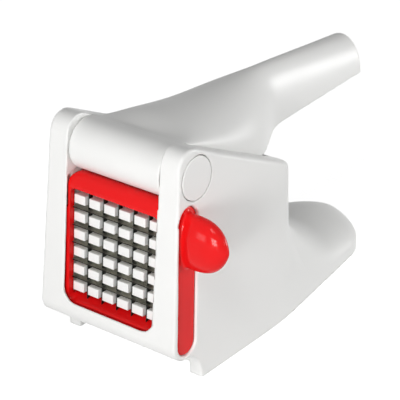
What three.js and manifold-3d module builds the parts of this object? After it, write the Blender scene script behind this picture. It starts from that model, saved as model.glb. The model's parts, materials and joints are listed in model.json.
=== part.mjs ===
import * as THREE from 'three';
import { mergeVertices } from 'three/addons/utils/BufferGeometryUtils.js';
import Module from 'manifold-3d';

// A kitchen cutter that presses a potato through a grid of steel blades and turns it into sticks.
// A lever hinged above the front window swings a plate of square studs inside the body, and the
// studs reach through the grid to push the sticks out. The grid sits in a red cassette that is
// drawn out of the right-hand side by its thumb tab.
// Millimetres. X runs to the user's right, Y runs from the front window to the rear, Z is up.
// The origin lies on the table, midway between the sides.

const wasm = await Module();
wasm.setup();

// General fits
const degree = Math.PI / 180;
const clearance = 0.3;
const runningGap = 0.4;
const overrun = 6;
const sliver = 0.1;
const wall = 2.5;

// Grid of sticks, blades and studs
const columns = 6;
const rows = 6;
const stickPitch = 10;
const bladeThickness = 0.6;
const levelBladeDepth = 6.2;
const uprightBladeDepth = 1;
const levelSetback = 2.4;
const uprightSetback = 3;
const bladeEdge = 1.2;
const tabLength = 1.6;
const studWidth = 7.4;
const studHeight = 5.6;
const studRecess = 4.4;
const studSideGap = 1.1;

// Hinge
const hingeHeight = 113.8;
const hingeForward = 82;
const barrelRadius = 14;
const plateRadius = 14.4;
const axleRadius = 3;
const bushRadius = 5;
const capRadius = 11.6;
const capDepth = 2.3;

// Body
const plateWidth = 12.9;
const sideDraftShare = 0.03;
const frontRake = 5.06 * degree;
const gridRake = 3.7 * degree;
const rimSlope = 24.9 * degree;
const bodyReach = 86;
const rearCornerRadius = 9;
const frontCornerRadius = 1.6;
const lipHeightShare = 0.5627;
const lipRadiusShare = 0.339;
const footForward = 82.3;
const footTipHeight = 2;
const footWidth = 8.2;
const footDepth = 8.3;
const floorDrop = 84.3;
const floorCurve = 38;
const rearWallThickness = 2.5;

// Front window
const windowBelowGrid = 32.1;
const windowCornerRadius = 8;
const windowLand = 0.8;
const windowFlare = 2.4;

// Cassette
const gridDrop = 52.33;
const cassetteRecess = 2.7;
const cassetteDepth = 14.2;
const cassetteFaceDepth = 8.9;
const lowerBarShare = 0.3877;
const barrelAir = 0.55;
const cassetteCornerRadius = 9;
const cassetteTuck = 1.1;
const tongueLength = 3.1;
const tongueTop = 20;
const leftBarThickness = 4;
const chuteDrop = 2.4;
const chuteRun = 8;
const endPlateThickness = 3.2;
const endPlateRecess = 1.2;
const slotClearance = 0.35;

// Thumb tab
const tabReach = 24.2;
const tabHalfHeight = 15;
const tabHalfDepth = 6.7;
const tabRise = 22;
const tabTipPower = 4;
const tabTipRoundness = 0.75;
const tabNeckShare = 0.1;
const tabNeckDepthShare = 0.16;
const tabStations = 12;
const tabSides = 22;
const tabLastShare = 0.992;

// Lever
const leverReach = 192;
const ridgeRise = 15;
const gripTipHalfWidth = 14;
const gripRootHalfWidth = 12.6;
const gripTipDrop = 13.5;
const gripRootDrop = 19.2;
const skirtBlend = 6.6;
const skirtDepth = 5;
const flareStart = 75.5;
const flareEnd = 109.6;
const flarePower = 1.22;
const leverWall = 2.6;
const linerThickness = 2.4;

// Pusher
const studPlateGap = 0.7;
const studPlateThickness = 2.5;
const armPlateThickness = 2.5;
const plateLowerEdge = 28.9;
const neckHalfWidth = 16;
const neckReach = 32;
const neckTopRise = 4;
const studBarDepth = 2;
const pegRadius = 1.2;
const ribThickness = 2.5;
const ribDepth = 9;
const screwHeadRadius = 3;
const screwHeadHeight = 1.6;
const screwRadius = 1.5;
const bossRadius = 4;
const armScrewReach = 23;
const armScrewHalfSpread = 9;

// Tail, the rounded rest behind the body
const tailReach = 104.9;
const tailNoseStart = 75.2;
const tailRootHalfWidth = 46.15;
const tailNoseHalfWidth = 33.9;
const tailTaperStart = 10;
const skirtHeight = 6.25;
const noseHeight = 16.4;
const swooshShare = 0.4508;
const swooshReach = 62;
const swooshPower = 1.8;
const nosePlanPower = 2.27;
const noseCrestPower = 3.13;
const noseCrestRoot = 2.98;
const boxyPower = 0.56;
const roundPower = 1.18;
const tailOverlap = 12;

// Base
const coverThickness = 3;
const padRadius = 5;
const padThickness = 1.6;

// Heights, widths and places that follow from the sizes above
const hingeY = -hingeForward;
const gridHalfWidth = (columns - 1) * stickPitch / 2 + studWidth / 2;
const chamberHalfWidth = gridHalfWidth + studSideGap;
const bodyHalfWidth = chamberHalfWidth + plateWidth;
const barrelHalfLength = chamberHalfWidth - runningGap;
const openingHalfHeight = rows * stickPitch / 2;
const openingHalfWidth = gridHalfWidth + clearance;
const rearY = hingeY + bodyReach;
const chamberRearY = rearY - rearWallThickness;
const chamberFloorZ = hingeHeight - floorDrop;
const gridZ = hingeHeight - gridDrop;
const lipHeight = chamberFloorZ * lipHeightShare;
const lipRadius = chamberFloorZ * lipRadiusShare;
const frontBottomZ = lipHeight + lipRadius;
const swooshHeight = hingeHeight * swooshShare;
const lowerBarHeight = (gridZ - openingHalfHeight) * lowerBarShare;
const rimTopZ = hingeHeight + plateRadius + overrun;
const tipY = hingeY + leverReach;
const sideTaper = (tailRootHalfWidth - tailNoseHalfWidth) / (tailNoseStart + tailTaperStart);
const acrossAll = bodyHalfWidth + overrun;

function frontY(z) {
  return hingeY - plateRadius / Math.cos(frontRake) - (hingeHeight - z) * Math.tan(frontRake);
}

function rimZ(y) {
  return hingeHeight + plateRadius / Math.cos(rimSlope) - (y - hingeY) * Math.tan(rimSlope);
}

function lidZ(y) {
  return hingeHeight + barrelRadius / Math.cos(rimSlope) - (y - hingeY) * Math.tan(rimSlope);
}

function sideX(z) {
  return bodyHalfWidth + (hingeHeight - z) * sideDraftShare;
}

// The cassette frame: its origin is the middle of the grid on the cassette's front face, its Y runs
// into the body and its Z up the rake
const gridFrame = new THREE.Group();
gridFrame.position.set(0, frontY(gridZ) + cassetteRecess, gridZ);
gridFrame.rotation.x = -gridRake;
gridFrame.updateMatrix();

// The window frame lies in the body's front face at the height of the grid
const windowFrame = new THREE.Group();
windowFrame.position.set(0, frontY(gridZ), gridZ);
windowFrame.rotation.x = -frontRake;
windowFrame.updateMatrix();

const hingeInGrid = new THREE.Vector3(0, hingeY, hingeHeight).applyMatrix4(gridFrame.matrix.clone().invert());

// The cassette is a bar with round top and bottom edges. Its top edge lies as high as the barrel lets it.
const cassetteRadius = cassetteDepth / 2;
const barrelDistance = barrelRadius + barrelAir + cassetteRadius;
const barrelOffset = hingeInGrid.y - cassetteRadius;
const cassetteTop = hingeInGrid.z - Math.sqrt(barrelDistance ** 2 - barrelOffset ** 2) + cassetteRadius;
const cassetteBottom = -openingHalfHeight - lowerBarHeight;
const cassetteLeft = -chamberHalfWidth - cassetteTuck;
const cassetteRight = bodyHalfWidth - endPlateThickness;
const studPlateFront = cassetteDepth + studPlateGap;
const armFront = studPlateFront + studPlateThickness + clearance;

// Finishes
function finish(color, roughness, metalness) {
  return new THREE.MeshStandardMaterial({ color, roughness, metalness });
}
const whitePlastic = finish(0xf1f1ee, 0.25, 0);
const innerPlastic = finish(0xe6e6e0, 0.4, 0);
const redPlastic = finish(0xe0191f, 0.18, 0);
const bladeSteel = finish(0x8f8f86, 0.3, 1);
const pinSteel = finish(0xb9bbbd, 0.25, 1);
const nylon = finish(0xdcdacd, 0.5, 0);
const rubber = finish(0x4a4a4a, 0.85, 0);

// Solids
function solid(geometry) {
  const bare = geometry.index ? geometry.toNonIndexed() : geometry.clone();
  bare.deleteAttribute('normal');
  bare.deleteAttribute('uv');
  const joined = mergeVertices(bare);
  const vertProperties = joined.attributes.position.array;
  const triVerts = new Uint32Array(joined.index.array);
  return new wasm.Manifold(new wasm.Mesh({ numProp: 3, vertProperties, triVerts }));
}

function geometryOf(body) {
  const { vertProperties, triVerts } = body.getMesh();
  const geometry = new THREE.BufferGeometry();
  geometry.setAttribute('position', new THREE.BufferAttribute(vertProperties, 3));
  geometry.setIndex(new THREE.BufferAttribute(triVerts, 1));
  return geometry;
}

function piece(name, body, material) {
  const mesh = new THREE.Mesh(geometryOf(body), material);
  mesh.name = name;
  return mesh;
}

function box(x0, x1, y0, y1, z0, z1, frame) {
  const geometry = new THREE.BoxGeometry(x1 - x0, y1 - y0, z1 - z0);
  geometry.translate((x0 + x1) / 2, (y0 + y1) / 2, (z0 + z1) / 2);
  if (frame) geometry.applyMatrix4(frame.matrix);
  return solid(geometry);
}

function extrude(shape, length, curveSegments) {
  return new THREE.ExtrudeGeometry(shape, { depth: length, bevelEnabled: false, curveSegments });
}

// An outline drawn in Y and Z, carried along X
const acrossAxes = new THREE.Matrix4().makeBasis(
  new THREE.Vector3(0, 1, 0), new THREE.Vector3(0, 0, 1), new THREE.Vector3(1, 0, 0));

function across(shape, x0, x1, frame, curveSegments = 10) {
  const geometry = extrude(shape, x1 - x0, curveSegments);
  geometry.applyMatrix4(acrossAxes);
  geometry.translate(x0, 0, 0);
  if (frame) geometry.applyMatrix4(frame.matrix);
  return solid(geometry);
}

// An outline drawn in X and Z, carried along Y
const inwardAxes = new THREE.Matrix4().makeBasis(
  new THREE.Vector3(1, 0, 0), new THREE.Vector3(0, 0, 1), new THREE.Vector3(0, -1, 0));

function inward(shape, y0, y1, frame, curveSegments = 8) {
  const geometry = extrude(shape, y1 - y0, curveSegments);
  geometry.applyMatrix4(inwardAxes);
  geometry.translate(0, y1, 0);
  if (frame) geometry.applyMatrix4(frame.matrix);
  return solid(geometry);
}

function polygon(points) {
  return new THREE.Shape(points.map(([x, y]) => new THREE.Vector2(x, y)));
}

function barAcross(radius, x0, x1, y, z, sides = 40) {
  const geometry = new THREE.CylinderGeometry(radius, radius, x1 - x0, sides);
  geometry.rotateZ(Math.PI / 2);
  geometry.translate((x0 + x1) / 2, y, z);
  return solid(geometry);
}

function post(radius, x, y, z0, z1, frame, sides = 20) {
  const geometry = new THREE.CylinderGeometry(radius, radius, z1 - z0, sides);
  geometry.rotateX(Math.PI / 2);
  geometry.translate(x, y, (z0 + z1) / 2);
  if (frame) geometry.applyMatrix4(frame.matrix);
  return solid(geometry);
}

// A rod whose axis runs into the body
function stub(radius, x, z, y0, y1, frame, sides = 20) {
  const geometry = new THREE.CylinderGeometry(radius, radius, y1 - y0, sides);
  geometry.translate(x, (y0 + y1) / 2, z);
  if (frame) geometry.applyMatrix4(frame.matrix);
  return solid(geometry);
}

// A closed skin over rings of points, each ring as long as the next, with a flat fan at either end
function loft(rings) {
  const count = rings[0].length;
  const points = rings.flat();
  const faces = [];
  for (let r = 0; r + 1 < rings.length; r++) {
    for (let i = 0; i < count; i++) {
      const a = r * count + i;
      const b = r * count + (i + 1) % count;
      faces.push(a, b, b + count, a, b + count, a + count);
    }
  }
  for (const [r, flip] of [[0, true], [rings.length - 1, false]]) {
    const middle = points.length;
    const sum = rings[r].reduce((s, p) => [s[0] + p[0], s[1] + p[1], s[2] + p[2]], [0, 0, 0]);
    points.push(sum.map((value) => value / count));
    for (let i = 0; i < count; i++) {
      const a = r * count + i;
      const b = r * count + (i + 1) % count;
      faces.push(middle, flip ? b : a, flip ? a : b);
    }
  }
  return skin(points, faces);
}

// Faces are turned over together where the rings run the other way round
function skin(points, faces) {
  const at = (i) => new THREE.Vector3(...points[i]);
  let volume = 0;
  for (let i = 0; i < faces.length; i += 3) {
    volume += at(faces[i]).dot(at(faces[i + 1]).cross(at(faces[i + 2])));
  }
  if (volume < 0) faces.reverse();
  const geometry = new THREE.BufferGeometry();
  geometry.setAttribute('position', new THREE.Float32BufferAttribute(points.flat(), 3));
  geometry.setIndex(faces);
  return geometry;
}

function arcPoints(cx, cy, radius, from, to, steps) {
  return Array.from({ length: steps + 1 }, (_, i) => {
    const angle = from + (to - from) * i / steps;
    return [cx + radius * Math.cos(angle), cy + radius * Math.sin(angle)];
  });
}

// Body outline seen from above at one height, drawn in from the outer skin by an inset
function bodyRing(z, inset) {
  const half = sideX(z) - inset;
  const front = frontY(z) + inset;
  const rear = rearY - inset;
  const r = frontCornerRadius;
  const R = rearCornerRadius - inset;
  const quarter = Math.PI / 2;
  const rearHalf = half - (rear - R + tailTaperStart) * sideTaper;
  const right = [
    ...arcPoints(half - r, front + r, r, -quarter, 0, 3),
    [half, -tailTaperStart],
    ...arcPoints(rearHalf - R, rear - R, R, Math.atan(sideTaper), quarter, 7),
  ];
  const left = right.map(([x, y]) => [-x, y]).reverse();
  return [...right, ...left].map(([x, y]) => [x, y, z]);
}

function bodyBlock(inset) {
  return solid(loft([bodyRing(-overrun, inset), bodyRing(rimTopZ, inset)]));
}

// Side outline: foot, straight base, rear, sloping rim, round top about the hinge, raked front, round
// lower lip and the arch in front of the foot
function sideOutline() {
  const lipY = frontY(frontBottomZ) + lipRadius / Math.cos(frontRake);
  const archRun = -footForward - lipY;
  const shape = new THREE.Shape();
  shape.moveTo(-footForward + footTipHeight / 2, 0);
  shape.lineTo(rearY + overrun, 0);
  shape.lineTo(rearY + overrun, rimZ(rearY + overrun));
  shape.absarc(hingeY, hingeHeight, plateRadius, Math.PI / 2 - rimSlope, Math.PI - frontRake, false);
  shape.absarc(lipY, frontBottomZ, lipRadius, Math.PI - frontRake, 3 * Math.PI / 2, false);
  shape.absellipse(lipY, footTipHeight, archRun, lipHeight - footTipHeight, Math.PI / 2, 0, true);
  return shape;
}

// Potato chamber in side view, drawn outwards by a margin, with a curved rear floor
function chamberOutline(margin, front) {
  const floor = chamberFloorZ - margin;
  const rear = chamberRearY + margin;
  const curve = floorCurve + margin;
  const top = rimTopZ + overrun;
  const shape = new THREE.Shape();
  shape.moveTo(front + (top - floor) * Math.tan(gridRake), top);
  shape.lineTo(front, floor);
  shape.absarc(rear - curve, floor + curve, curve, -Math.PI / 2, 0, false);
  shape.lineTo(rear, top);
  return shape;
}

// Cassette in side view, in the cassette frame, drawn outwards by a margin
function cassetteOutline(margin) {
  const radius = cassetteRadius + margin;
  const top = cassetteTop - cassetteRadius;
  const bottom = cassetteBottom + cassetteRadius;
  const shape = new THREE.Shape();
  shape.absarc(cassetteRadius, top, radius, 0, Math.PI, false);
  shape.absarc(cassetteRadius, bottom, radius, Math.PI, 2 * Math.PI, false);
  return shape;
}

// Front window with round lower corners, in the window frame, drawn outwards by a margin
function windowPoints(margin, depth) {
  const half = chamberHalfWidth + margin;
  const bottom = -windowBelowGrid - margin;
  const radius = windowCornerRadius + margin;
  const top = gridDrop - barrelRadius;
  const right = [
    ...arcPoints(half - radius, bottom + radius, radius, -Math.PI / 2, 0, 6),
    [half, top],
  ];
  const left = right.map(([x, z]) => [-x, z]).reverse();
  return [...right, ...left].map(([x, z]) => [x, depth, z]);
}

function windowCut() {
  const frontDepth = [-overrun, windowLand].map((depth) => windowPoints(0, depth));
  const flared = windowPoints(windowFlare, windowLand + windowFlare);
  const inner = windowPoints(windowFlare, cassetteRecess + windowFlare);
  return solid(loft([...frontDepth, flared, inner]).applyMatrix4(windowFrame.matrix));
}

// Tail in cross-section: a short upright skirt under a rounded crest that falls away to the nose
function tailHalfWidth(y) {
  const taper = (y + tailTaperStart) / (tailNoseStart + tailTaperStart);
  const straight = tailRootHalfWidth + (tailNoseHalfWidth - tailRootHalfWidth) * taper;
  const into = Math.max(0, (y - tailNoseStart) / (tailReach - tailNoseStart));
  return straight * Math.sqrt(Math.max(0, 1 - into ** nosePlanPower));
}

function tailCrest(y) {
  const along = Math.min(1, Math.max(0, y / tailReach));
  const nose = noseHeight * (1 - along ** noseCrestPower) ** (1 / noseCrestRoot);
  const swoosh = swooshHeight * Math.max(0, 1 - y / swooshReach) ** swooshPower;
  return skirtHeight + nose + swoosh;
}

function tailRing(y, inset, bottom, steps) {
  const stretch = Math.max(0, y - tailNoseStart) / (tailReach - inset - tailNoseStart);
  const station = y + inset * stretch;
  const half = Math.max(tailHalfWidth(station) - inset, clearance);
  const crest = Math.max(tailCrest(station) - inset, skirtHeight + clearance);
  const round = boxyPower + (roundPower - boxyPower) * Math.min(1, Math.max(0, y / tailNoseStart));
  const ring = [[half, y, bottom]];
  for (let i = 0; i <= steps; i++) {
    const angle = Math.PI / 2 - Math.PI * i / steps;
    const sine = Math.sin(angle);
    const cosine = Math.max(0, Math.cos(angle));
    const z = skirtHeight + (crest - skirtHeight) * cosine ** round;
    const drafted = half - z * sideDraftShare;
    ring.push([drafted * Math.sign(sine) * Math.abs(sine) ** round, y, z]);
  }
  ring.push([-half, y, bottom]);
  return ring;
}

function tailBlock(inset, bottom, stations, steps) {
  const rings = [];
  const start = rearY - tailOverlap;
  const length = tailReach - inset - clearance - start;
  for (let i = 0; i < stations; i++) {
    const share = Math.sin(i / (stations - 1) * Math.PI / 2);
    rings.push(tailRing(start + length * share, inset, bottom, steps));
  }
  return solid(loft(rings));
}

// Body
const bodySkin = bodyBlock(0).intersect(across(sideOutline(), -acrossAll, acrossAll));

function cavityOutline(front) {
  const top = (y) => rimZ(y) - wall / Math.cos(rimSlope);
  return polygon([
    [front, -overrun],
    [rearY, -overrun],
    [rearY, top(rearY)],
    [front, top(front)],
  ]);
}

const cavityFrontY = -footForward + footDepth + wall;
const hingeBoss = barAcross(plateRadius, -bodyHalfWidth, bodyHalfWidth, hingeY, hingeHeight);

// Places on the base as shares of the tail's half width and of the hinge's distance forward
const screwPlaceShares = [[-0.6, -0.74], [0.6, -0.74], [-0.42, 0.6], [0.42, 0.6]];
const padPlaceShares = [[-0.78, -0.72], [0.78, -0.72], [-0.52, 0.86], [0.52, 0.86]];

function basePlaces(shares) {
  return shares.map(([sideways, along]) => [sideways * tailRootHalfWidth, along * hingeForward]);
}

const screwPlaces = basePlaces(screwPlaceShares);
const padPlaces = basePlaces(padPlaceShares);

function bodyShell() {
  const chamberFront = gridFrame.position.y + studRecess
    - (gridZ - chamberFloorZ) * Math.tan(gridRake);
  const protectedWall = across(
    chamberOutline(wall, chamberFront - overrun), -chamberHalfWidth - wall, chamberHalfWidth + wall);
  const cavity = bodyBlock(wall)
    .intersect(across(cavityOutline(cavityFrontY), -acrossAll, acrossAll))
    .add(tailBlock(wall, -overrun, 14, 14))
    .subtract(protectedWall)
    .subtract(hingeBoss);
  let shell = bodySkin.add(tailBlock(0, 0, 20, 22));
  const outside = shell;
  shell = shell.subtract(cavity);
  for (const [x, y] of screwPlaces) {
    shell = shell.add(post(bossRadius, x, y, coverThickness + clearance, hingeHeight).intersect(outside));
  }
  for (const [x, y] of screwPlaces) {
    const pilotTop = coverThickness + clearance + screwHeadHeight * 6;
    shell = shell.subtract(post(screwRadius + clearance, x, y, 0, pilotTop));
  }
  shell = shell
    .subtract(across(chamberOutline(0, chamberFront), -chamberHalfWidth, chamberHalfWidth))
    .subtract(windowCut())
    .subtract(box(-chamberHalfWidth, chamberHalfWidth, frontY(0), hingeY,
      hingeHeight - barrelRadius - barrelAir, rimTopZ + overrun))
    .subtract(across(cassetteOutline(slotClearance), cassetteLeft - clearance, acrossAll, gridFrame))
    .subtract(tongue(clearance))
    .subtract(box(-sideX(0) + footWidth, sideX(0) - footWidth, frontY(0), cavityFrontY - wall, -overrun,
      lipHeight));
  for (const side of [-1, 1]) {
    const inner = side * (chamberHalfWidth - overrun);
    const seat = side * (bodyHalfWidth - capDepth - clearance);
    const outer = side * acrossAll;
    shell = shell
      .subtract(barAcross(bushRadius + clearance, Math.min(inner, seat), Math.max(inner, seat), hingeY,
        hingeHeight))
      .subtract(barAcross(capRadius + clearance, Math.min(seat, outer), Math.max(seat, outer), hingeY,
        hingeHeight, 48));
  }
  return shell;
}

// The tongue is the thin left edge of the cassette that hooks behind the front wall
function tongue(margin) {
  return box(cassetteLeft - tongueLength - margin, -openingHalfWidth, -margin, leftBarThickness + margin,
    cassetteBottom + cassetteRadius - margin, tongueTop + margin, gridFrame);
}

function baseCover() {
  const slab = box(-acrossAll, acrossAll, cavityFrontY + clearance, tailReach, 0, coverThickness);
  const fit = wall + clearance;
  let cover = slab.intersect(bodyBlock(fit).add(tailBlock(fit, -overrun, 14, 14)));
  for (const [x, y] of screwPlaces) {
    cover = cover
      .subtract(post(screwRadius + clearance, x, y, -overrun, coverThickness + overrun))
      .subtract(post(screwHeadRadius + clearance, x, y, -overrun, screwHeadHeight + clearance));
  }
  for (const [x, y] of padPlaces) {
    cover = cover.subtract(post(padRadius + clearance, x, y, -overrun, padThickness + clearance));
  }
  return cover;
}

function baseScrew([x, y]) {
  const length = coverThickness + screwHeadHeight * 5;
  return post(screwHeadRadius, x, y, 0, screwHeadHeight).add(post(screwRadius, x, y, 0, length));
}

// Hinge
function axleBush(side) {
  const from = side * (chamberHalfWidth + clearance);
  const to = side * (bodyHalfWidth - capDepth - clearance * 2);
  const low = Math.min(from, to);
  const high = Math.max(from, to);
  return barAcross(bushRadius, low, high, hingeY, hingeHeight, 32)
    .subtract(barAcross(axleRadius + clearance, low - overrun, high + overrun, hingeY, hingeHeight, 32));
}

function hingeAxle() {
  const half = bodyHalfWidth - capDepth - clearance * 2;
  return barAcross(axleRadius, -half, half, hingeY, hingeHeight, 32);
}

function hingeCap(side) {
  const inner = side * (bodyHalfWidth - capDepth);
  const outer = side * acrossAll;
  return barAcross(capRadius, Math.min(inner, outer), Math.max(inner, outer), hingeY, hingeHeight, 48)
    .intersect(bodySkin);
}

// Lever: half-ellipse sections from the barrel to the tip of the handle
const ridgeReachShares = [0.032, 0.115, 0.219, 0.349, 0.479, 0.74, 1];
const ridgeRiseShares = [0.847, 1.047, 1, 0.96, 0.987, 0.793, 0.52];
const ridgeCurve = new THREE.CubicInterpolant(
  ridgeReachShares.map((share) => hingeY + share * leverReach),
  ridgeRiseShares.map((share) => hingeHeight + share * ridgeRise), 1);

function greaterOf(a, b, blend) {
  return (a + b + Math.sqrt((a - b) ** 2 + blend ** 2)) / 2;
}

function leverSection(y) {
  const toRoot = (tipY - y) / (leverReach / 2);
  const reach = Math.min(1, Math.max(0, toRoot));
  const grip = gripTipHalfWidth + (gripRootHalfWidth - gripTipHalfWidth) * reach;
  const gripBase = hingeHeight - gripTipDrop - (gripRootDrop - gripTipDrop) * toRoot;
  const flare = Math.min(1, Math.max(0, (y - hingeY - flareStart) / (flareEnd - flareStart)));
  const half = grip + (barrelHalfLength - grip) * (1 - flare) ** flarePower;
  const top = ridgeCurve.evaluate(y)[0];
  const edge = Math.min(greaterOf(lidZ(y), gripBase, skirtBlend), top - clearance);
  return { half, top, edge, skirt: skirtDepth * (1 - flare) };
}

function leverRing(y, inset, steps) {
  const { half, top, edge, skirt } = leverSection(y);
  const bottom = inset ? edge - skirtDepth * 4 : edge - skirt - sliver;
  const ring = [[half - inset, y, bottom]];
  for (let i = 0; i <= steps; i++) {
    const angle = Math.PI / 2 - Math.PI * i / steps;
    ring.push([(half - inset) * Math.sin(angle), y, edge + (top - inset - edge) * Math.cos(angle)]);
  }
  ring.push([-(half - inset), y, bottom]);
  return ring;
}

function leverLoft(from, to, inset, stations, steps) {
  const rings = [];
  for (let i = 0; i < stations; i++) {
    rings.push(leverRing(from + (to - from) * i / (stations - 1), inset, steps));
  }
  return solid(loft(rings));
}

const lidStartY = hingeY + barrelRadius * Math.sin(rimSlope);
const hollowStartY = hingeY + barrelRadius + clearance;
const armBlockTop = hingeInGrid.z + neckTopRise;
const armScrewDepth = hingeInGrid.y + armScrewReach;

function leverShell() {
  const barrel = barAcross(barrelRadius, -barrelHalfLength, barrelHalfLength, hingeY, hingeHeight, 56);
  const outer = leverLoft(lidStartY, tipY, 0, 30, 24).add(barrel);
  const hollow = leverLoft(hollowStartY, tipY - leverWall, leverWall, 22, 16)
    .subtract(barAcross(barrelRadius, -barrelHalfLength, barrelHalfLength, hingeY, hingeHeight, 56));
  let shell = outer.subtract(hollow);
  for (const side of [-1, 1]) {
    const boss = post(bossRadius, side * armScrewHalfSpread, armScrewDepth, armBlockTop + clearance,
      armBlockTop + ridgeRise * 2, gridFrame);
    shell = shell.add(boss.intersect(outer));
  }
  for (const side of [-1, 1]) {
    shell = shell.subtract(post(screwRadius + clearance, side * armScrewHalfSpread, armScrewDepth,
      armBlockTop, armBlockTop + screwHeadHeight * 3, gridFrame));
  }
  return shell.subtract(barAcross(axleRadius + clearance, -bodyHalfWidth, bodyHalfWidth, hingeY,
    hingeHeight, 32));
}

function leverLiner() {
  const start = hingeY + flareEnd + leverWall;
  const end = tipY - leverWall - clearance;
  const rings = [];
  for (const y of [start, (start + end) / 2, end]) {
    const { half, edge } = leverSection(y);
    const x = half - leverWall - clearance;
    rings.push([[x, y, edge], [x, y, edge + linerThickness], [-x, y, edge + linerThickness],
      [-x, y, edge]]);
  }
  return solid(loft(rings));
}

// Pusher, in the cassette frame: a plate of studs, and the arm that hangs it from the lever
const rowHeights = Array.from({ length: rows }, (_, row) => (row - (rows - 1) / 2) * stickPitch);
const pegPlaces = [-stickPitch, stickPitch];
const plateScrewPlaces = [[-1, -1], [1, -1], [-1, 1], [1, 1]].map(
  ([side, level]) => [side * 2 * stickPitch, level * 2 * stickPitch]);

function studPlate() {
  const half = gridHalfWidth + clearance;
  const back = studPlateFront + studPlateThickness;
  let plate = box(-half, half, studPlateFront, back, -plateLowerEdge, plateLowerEdge);
  for (const [x, z] of plateScrewPlaces) {
    plate = plate.subtract(stub(screwRadius + clearance, x, z, studPlateFront - overrun, back + overrun));
  }
  for (const z of rowHeights) {
    for (const x of pegPlaces) {
      plate = plate.subtract(stub(pegRadius + clearance, x, z, studPlateFront - overrun, back + overrun,
        undefined, 12));
    }
  }
  return plate;
}

// One row of studs on its bar, with two pegs that plug into the stud plate
function studRow(z) {
  const bottom = z - studHeight / 2;
  const top = z + studHeight / 2;
  const back = studPlateFront - clearance;
  let row = box(-gridHalfWidth, gridHalfWidth, back - studBarDepth, back, bottom, top);
  for (let column = 0; column < columns; column++) {
    const x = (column - (columns - 1) / 2) * stickPitch;
    row = row.add(box(x - studWidth / 2, x + studWidth / 2, studRecess, back, bottom, top));
  }
  for (const x of pegPlaces) {
    row = row.add(stub(pegRadius, x, z, back - clearance, studPlateFront + studPlateThickness,
      undefined, 12));
  }
  return row;
}

function pusherArm() {
  const half = gridHalfWidth + clearance;
  const back = armFront + armPlateThickness;
  const neckBack = hingeInGrid.y + neckReach;
  const plateTop = hingeInGrid.z - barrelRadius;
  const neckFoot = plateTop - ribDepth;
  let arm = box(-half, half, armFront, back, -plateLowerEdge, neckFoot);
  const neck = polygon([
    [armFront, neckFoot - wall],
    [back, neckFoot - wall],
    [neckBack, plateTop + wall],
    [neckBack, armBlockTop],
    [hingeInGrid.y + barrelRadius + clearance, armBlockTop],
    [armFront, hingeInGrid.z],
  ]);
  arm = arm.add(across(neck, -neckHalfWidth, neckHalfWidth));
  const rib = polygon([
    [back - clearance, -plateLowerEdge],
    [back + wall, -plateLowerEdge],
    [back + ribDepth, neckFoot - wall],
    [back + ribDepth, neckFoot + wall],
    [back - clearance, neckFoot],
  ]);
  for (const share of [-1, 0, 1]) {
    const x = share * (neckHalfWidth - ribThickness / 2);
    arm = arm.add(across(rib, x - ribThickness / 2, x + ribThickness / 2));
  }
  arm = arm.subtract(barAcross(barrelRadius + clearance, -half * 2, half * 2, hingeInGrid.y, hingeInGrid.z,
    56));
  for (const side of [-1, 1]) {
    const x = side * armScrewHalfSpread;
    arm = arm
      .subtract(post(screwRadius + clearance, x, armScrewDepth, plateTop - overrun * 2,
        armBlockTop + overrun))
      .subtract(post(screwHeadRadius + clearance, x, armScrewDepth, plateTop - overrun * 2,
        armScrewSeat + clearance));
  }
  for (const [x, z] of plateScrewPlaces) {
    arm = arm.subtract(stub(screwRadius + clearance, x, z, armFront - overrun, back + overrun));
  }
  return arm;
}

const armScrewSeat = hingeInGrid.z - barrelRadius / 2;

function armScrew(side) {
  const x = side * armScrewHalfSpread;
  return post(screwHeadRadius, x, armScrewDepth, armScrewSeat - screwHeadHeight, armScrewSeat)
    .add(post(screwRadius, x, armScrewDepth, armScrewSeat - screwHeadHeight,
      armBlockTop + screwHeadHeight * 2));
}

function plateScrew([x, z]) {
  const back = armFront + armPlateThickness + clearance;
  return stub(screwHeadRadius, x, z, back, back + screwHeadHeight)
    .add(stub(screwRadius, x, z, studPlateFront + clearance * 2, back + clearance));
}

// Cassette, in the cassette frame
const levelHeights = Array.from({ length: rows - 1 }, (_, i) => (rows / 2 - 1 - i) * stickPitch);
const uprightPlaces = Array.from({ length: columns - 1 }, (_, i) => (i + 1 - columns / 2) * stickPitch);
const chuteFrontZ = -openingHalfHeight - chuteDrop;

// Rounded corners at the closed left end, seen from the front
function cassetteFace(left, right) {
  const r = cassetteCornerRadius;
  const shape = new THREE.Shape();
  shape.moveTo(right, cassetteBottom - overrun);
  shape.lineTo(right, cassetteTop + overrun);
  shape.lineTo(left + r, cassetteTop + overrun);
  shape.lineTo(left + r, cassetteTop);
  shape.absarc(left + r, cassetteTop - r, r, Math.PI / 2, Math.PI, false);
  shape.absarc(left + r, cassetteBottom + r, r, Math.PI, 3 * Math.PI / 2, false);
  shape.lineTo(left + r, cassetteBottom - overrun);
  return inward(shape, -overrun, cassetteDepth + overrun);
}

function barBody(right) {
  return across(cassetteOutline(0), cassetteLeft, right).intersect(cassetteFace(cassetteLeft, right));
}

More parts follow.
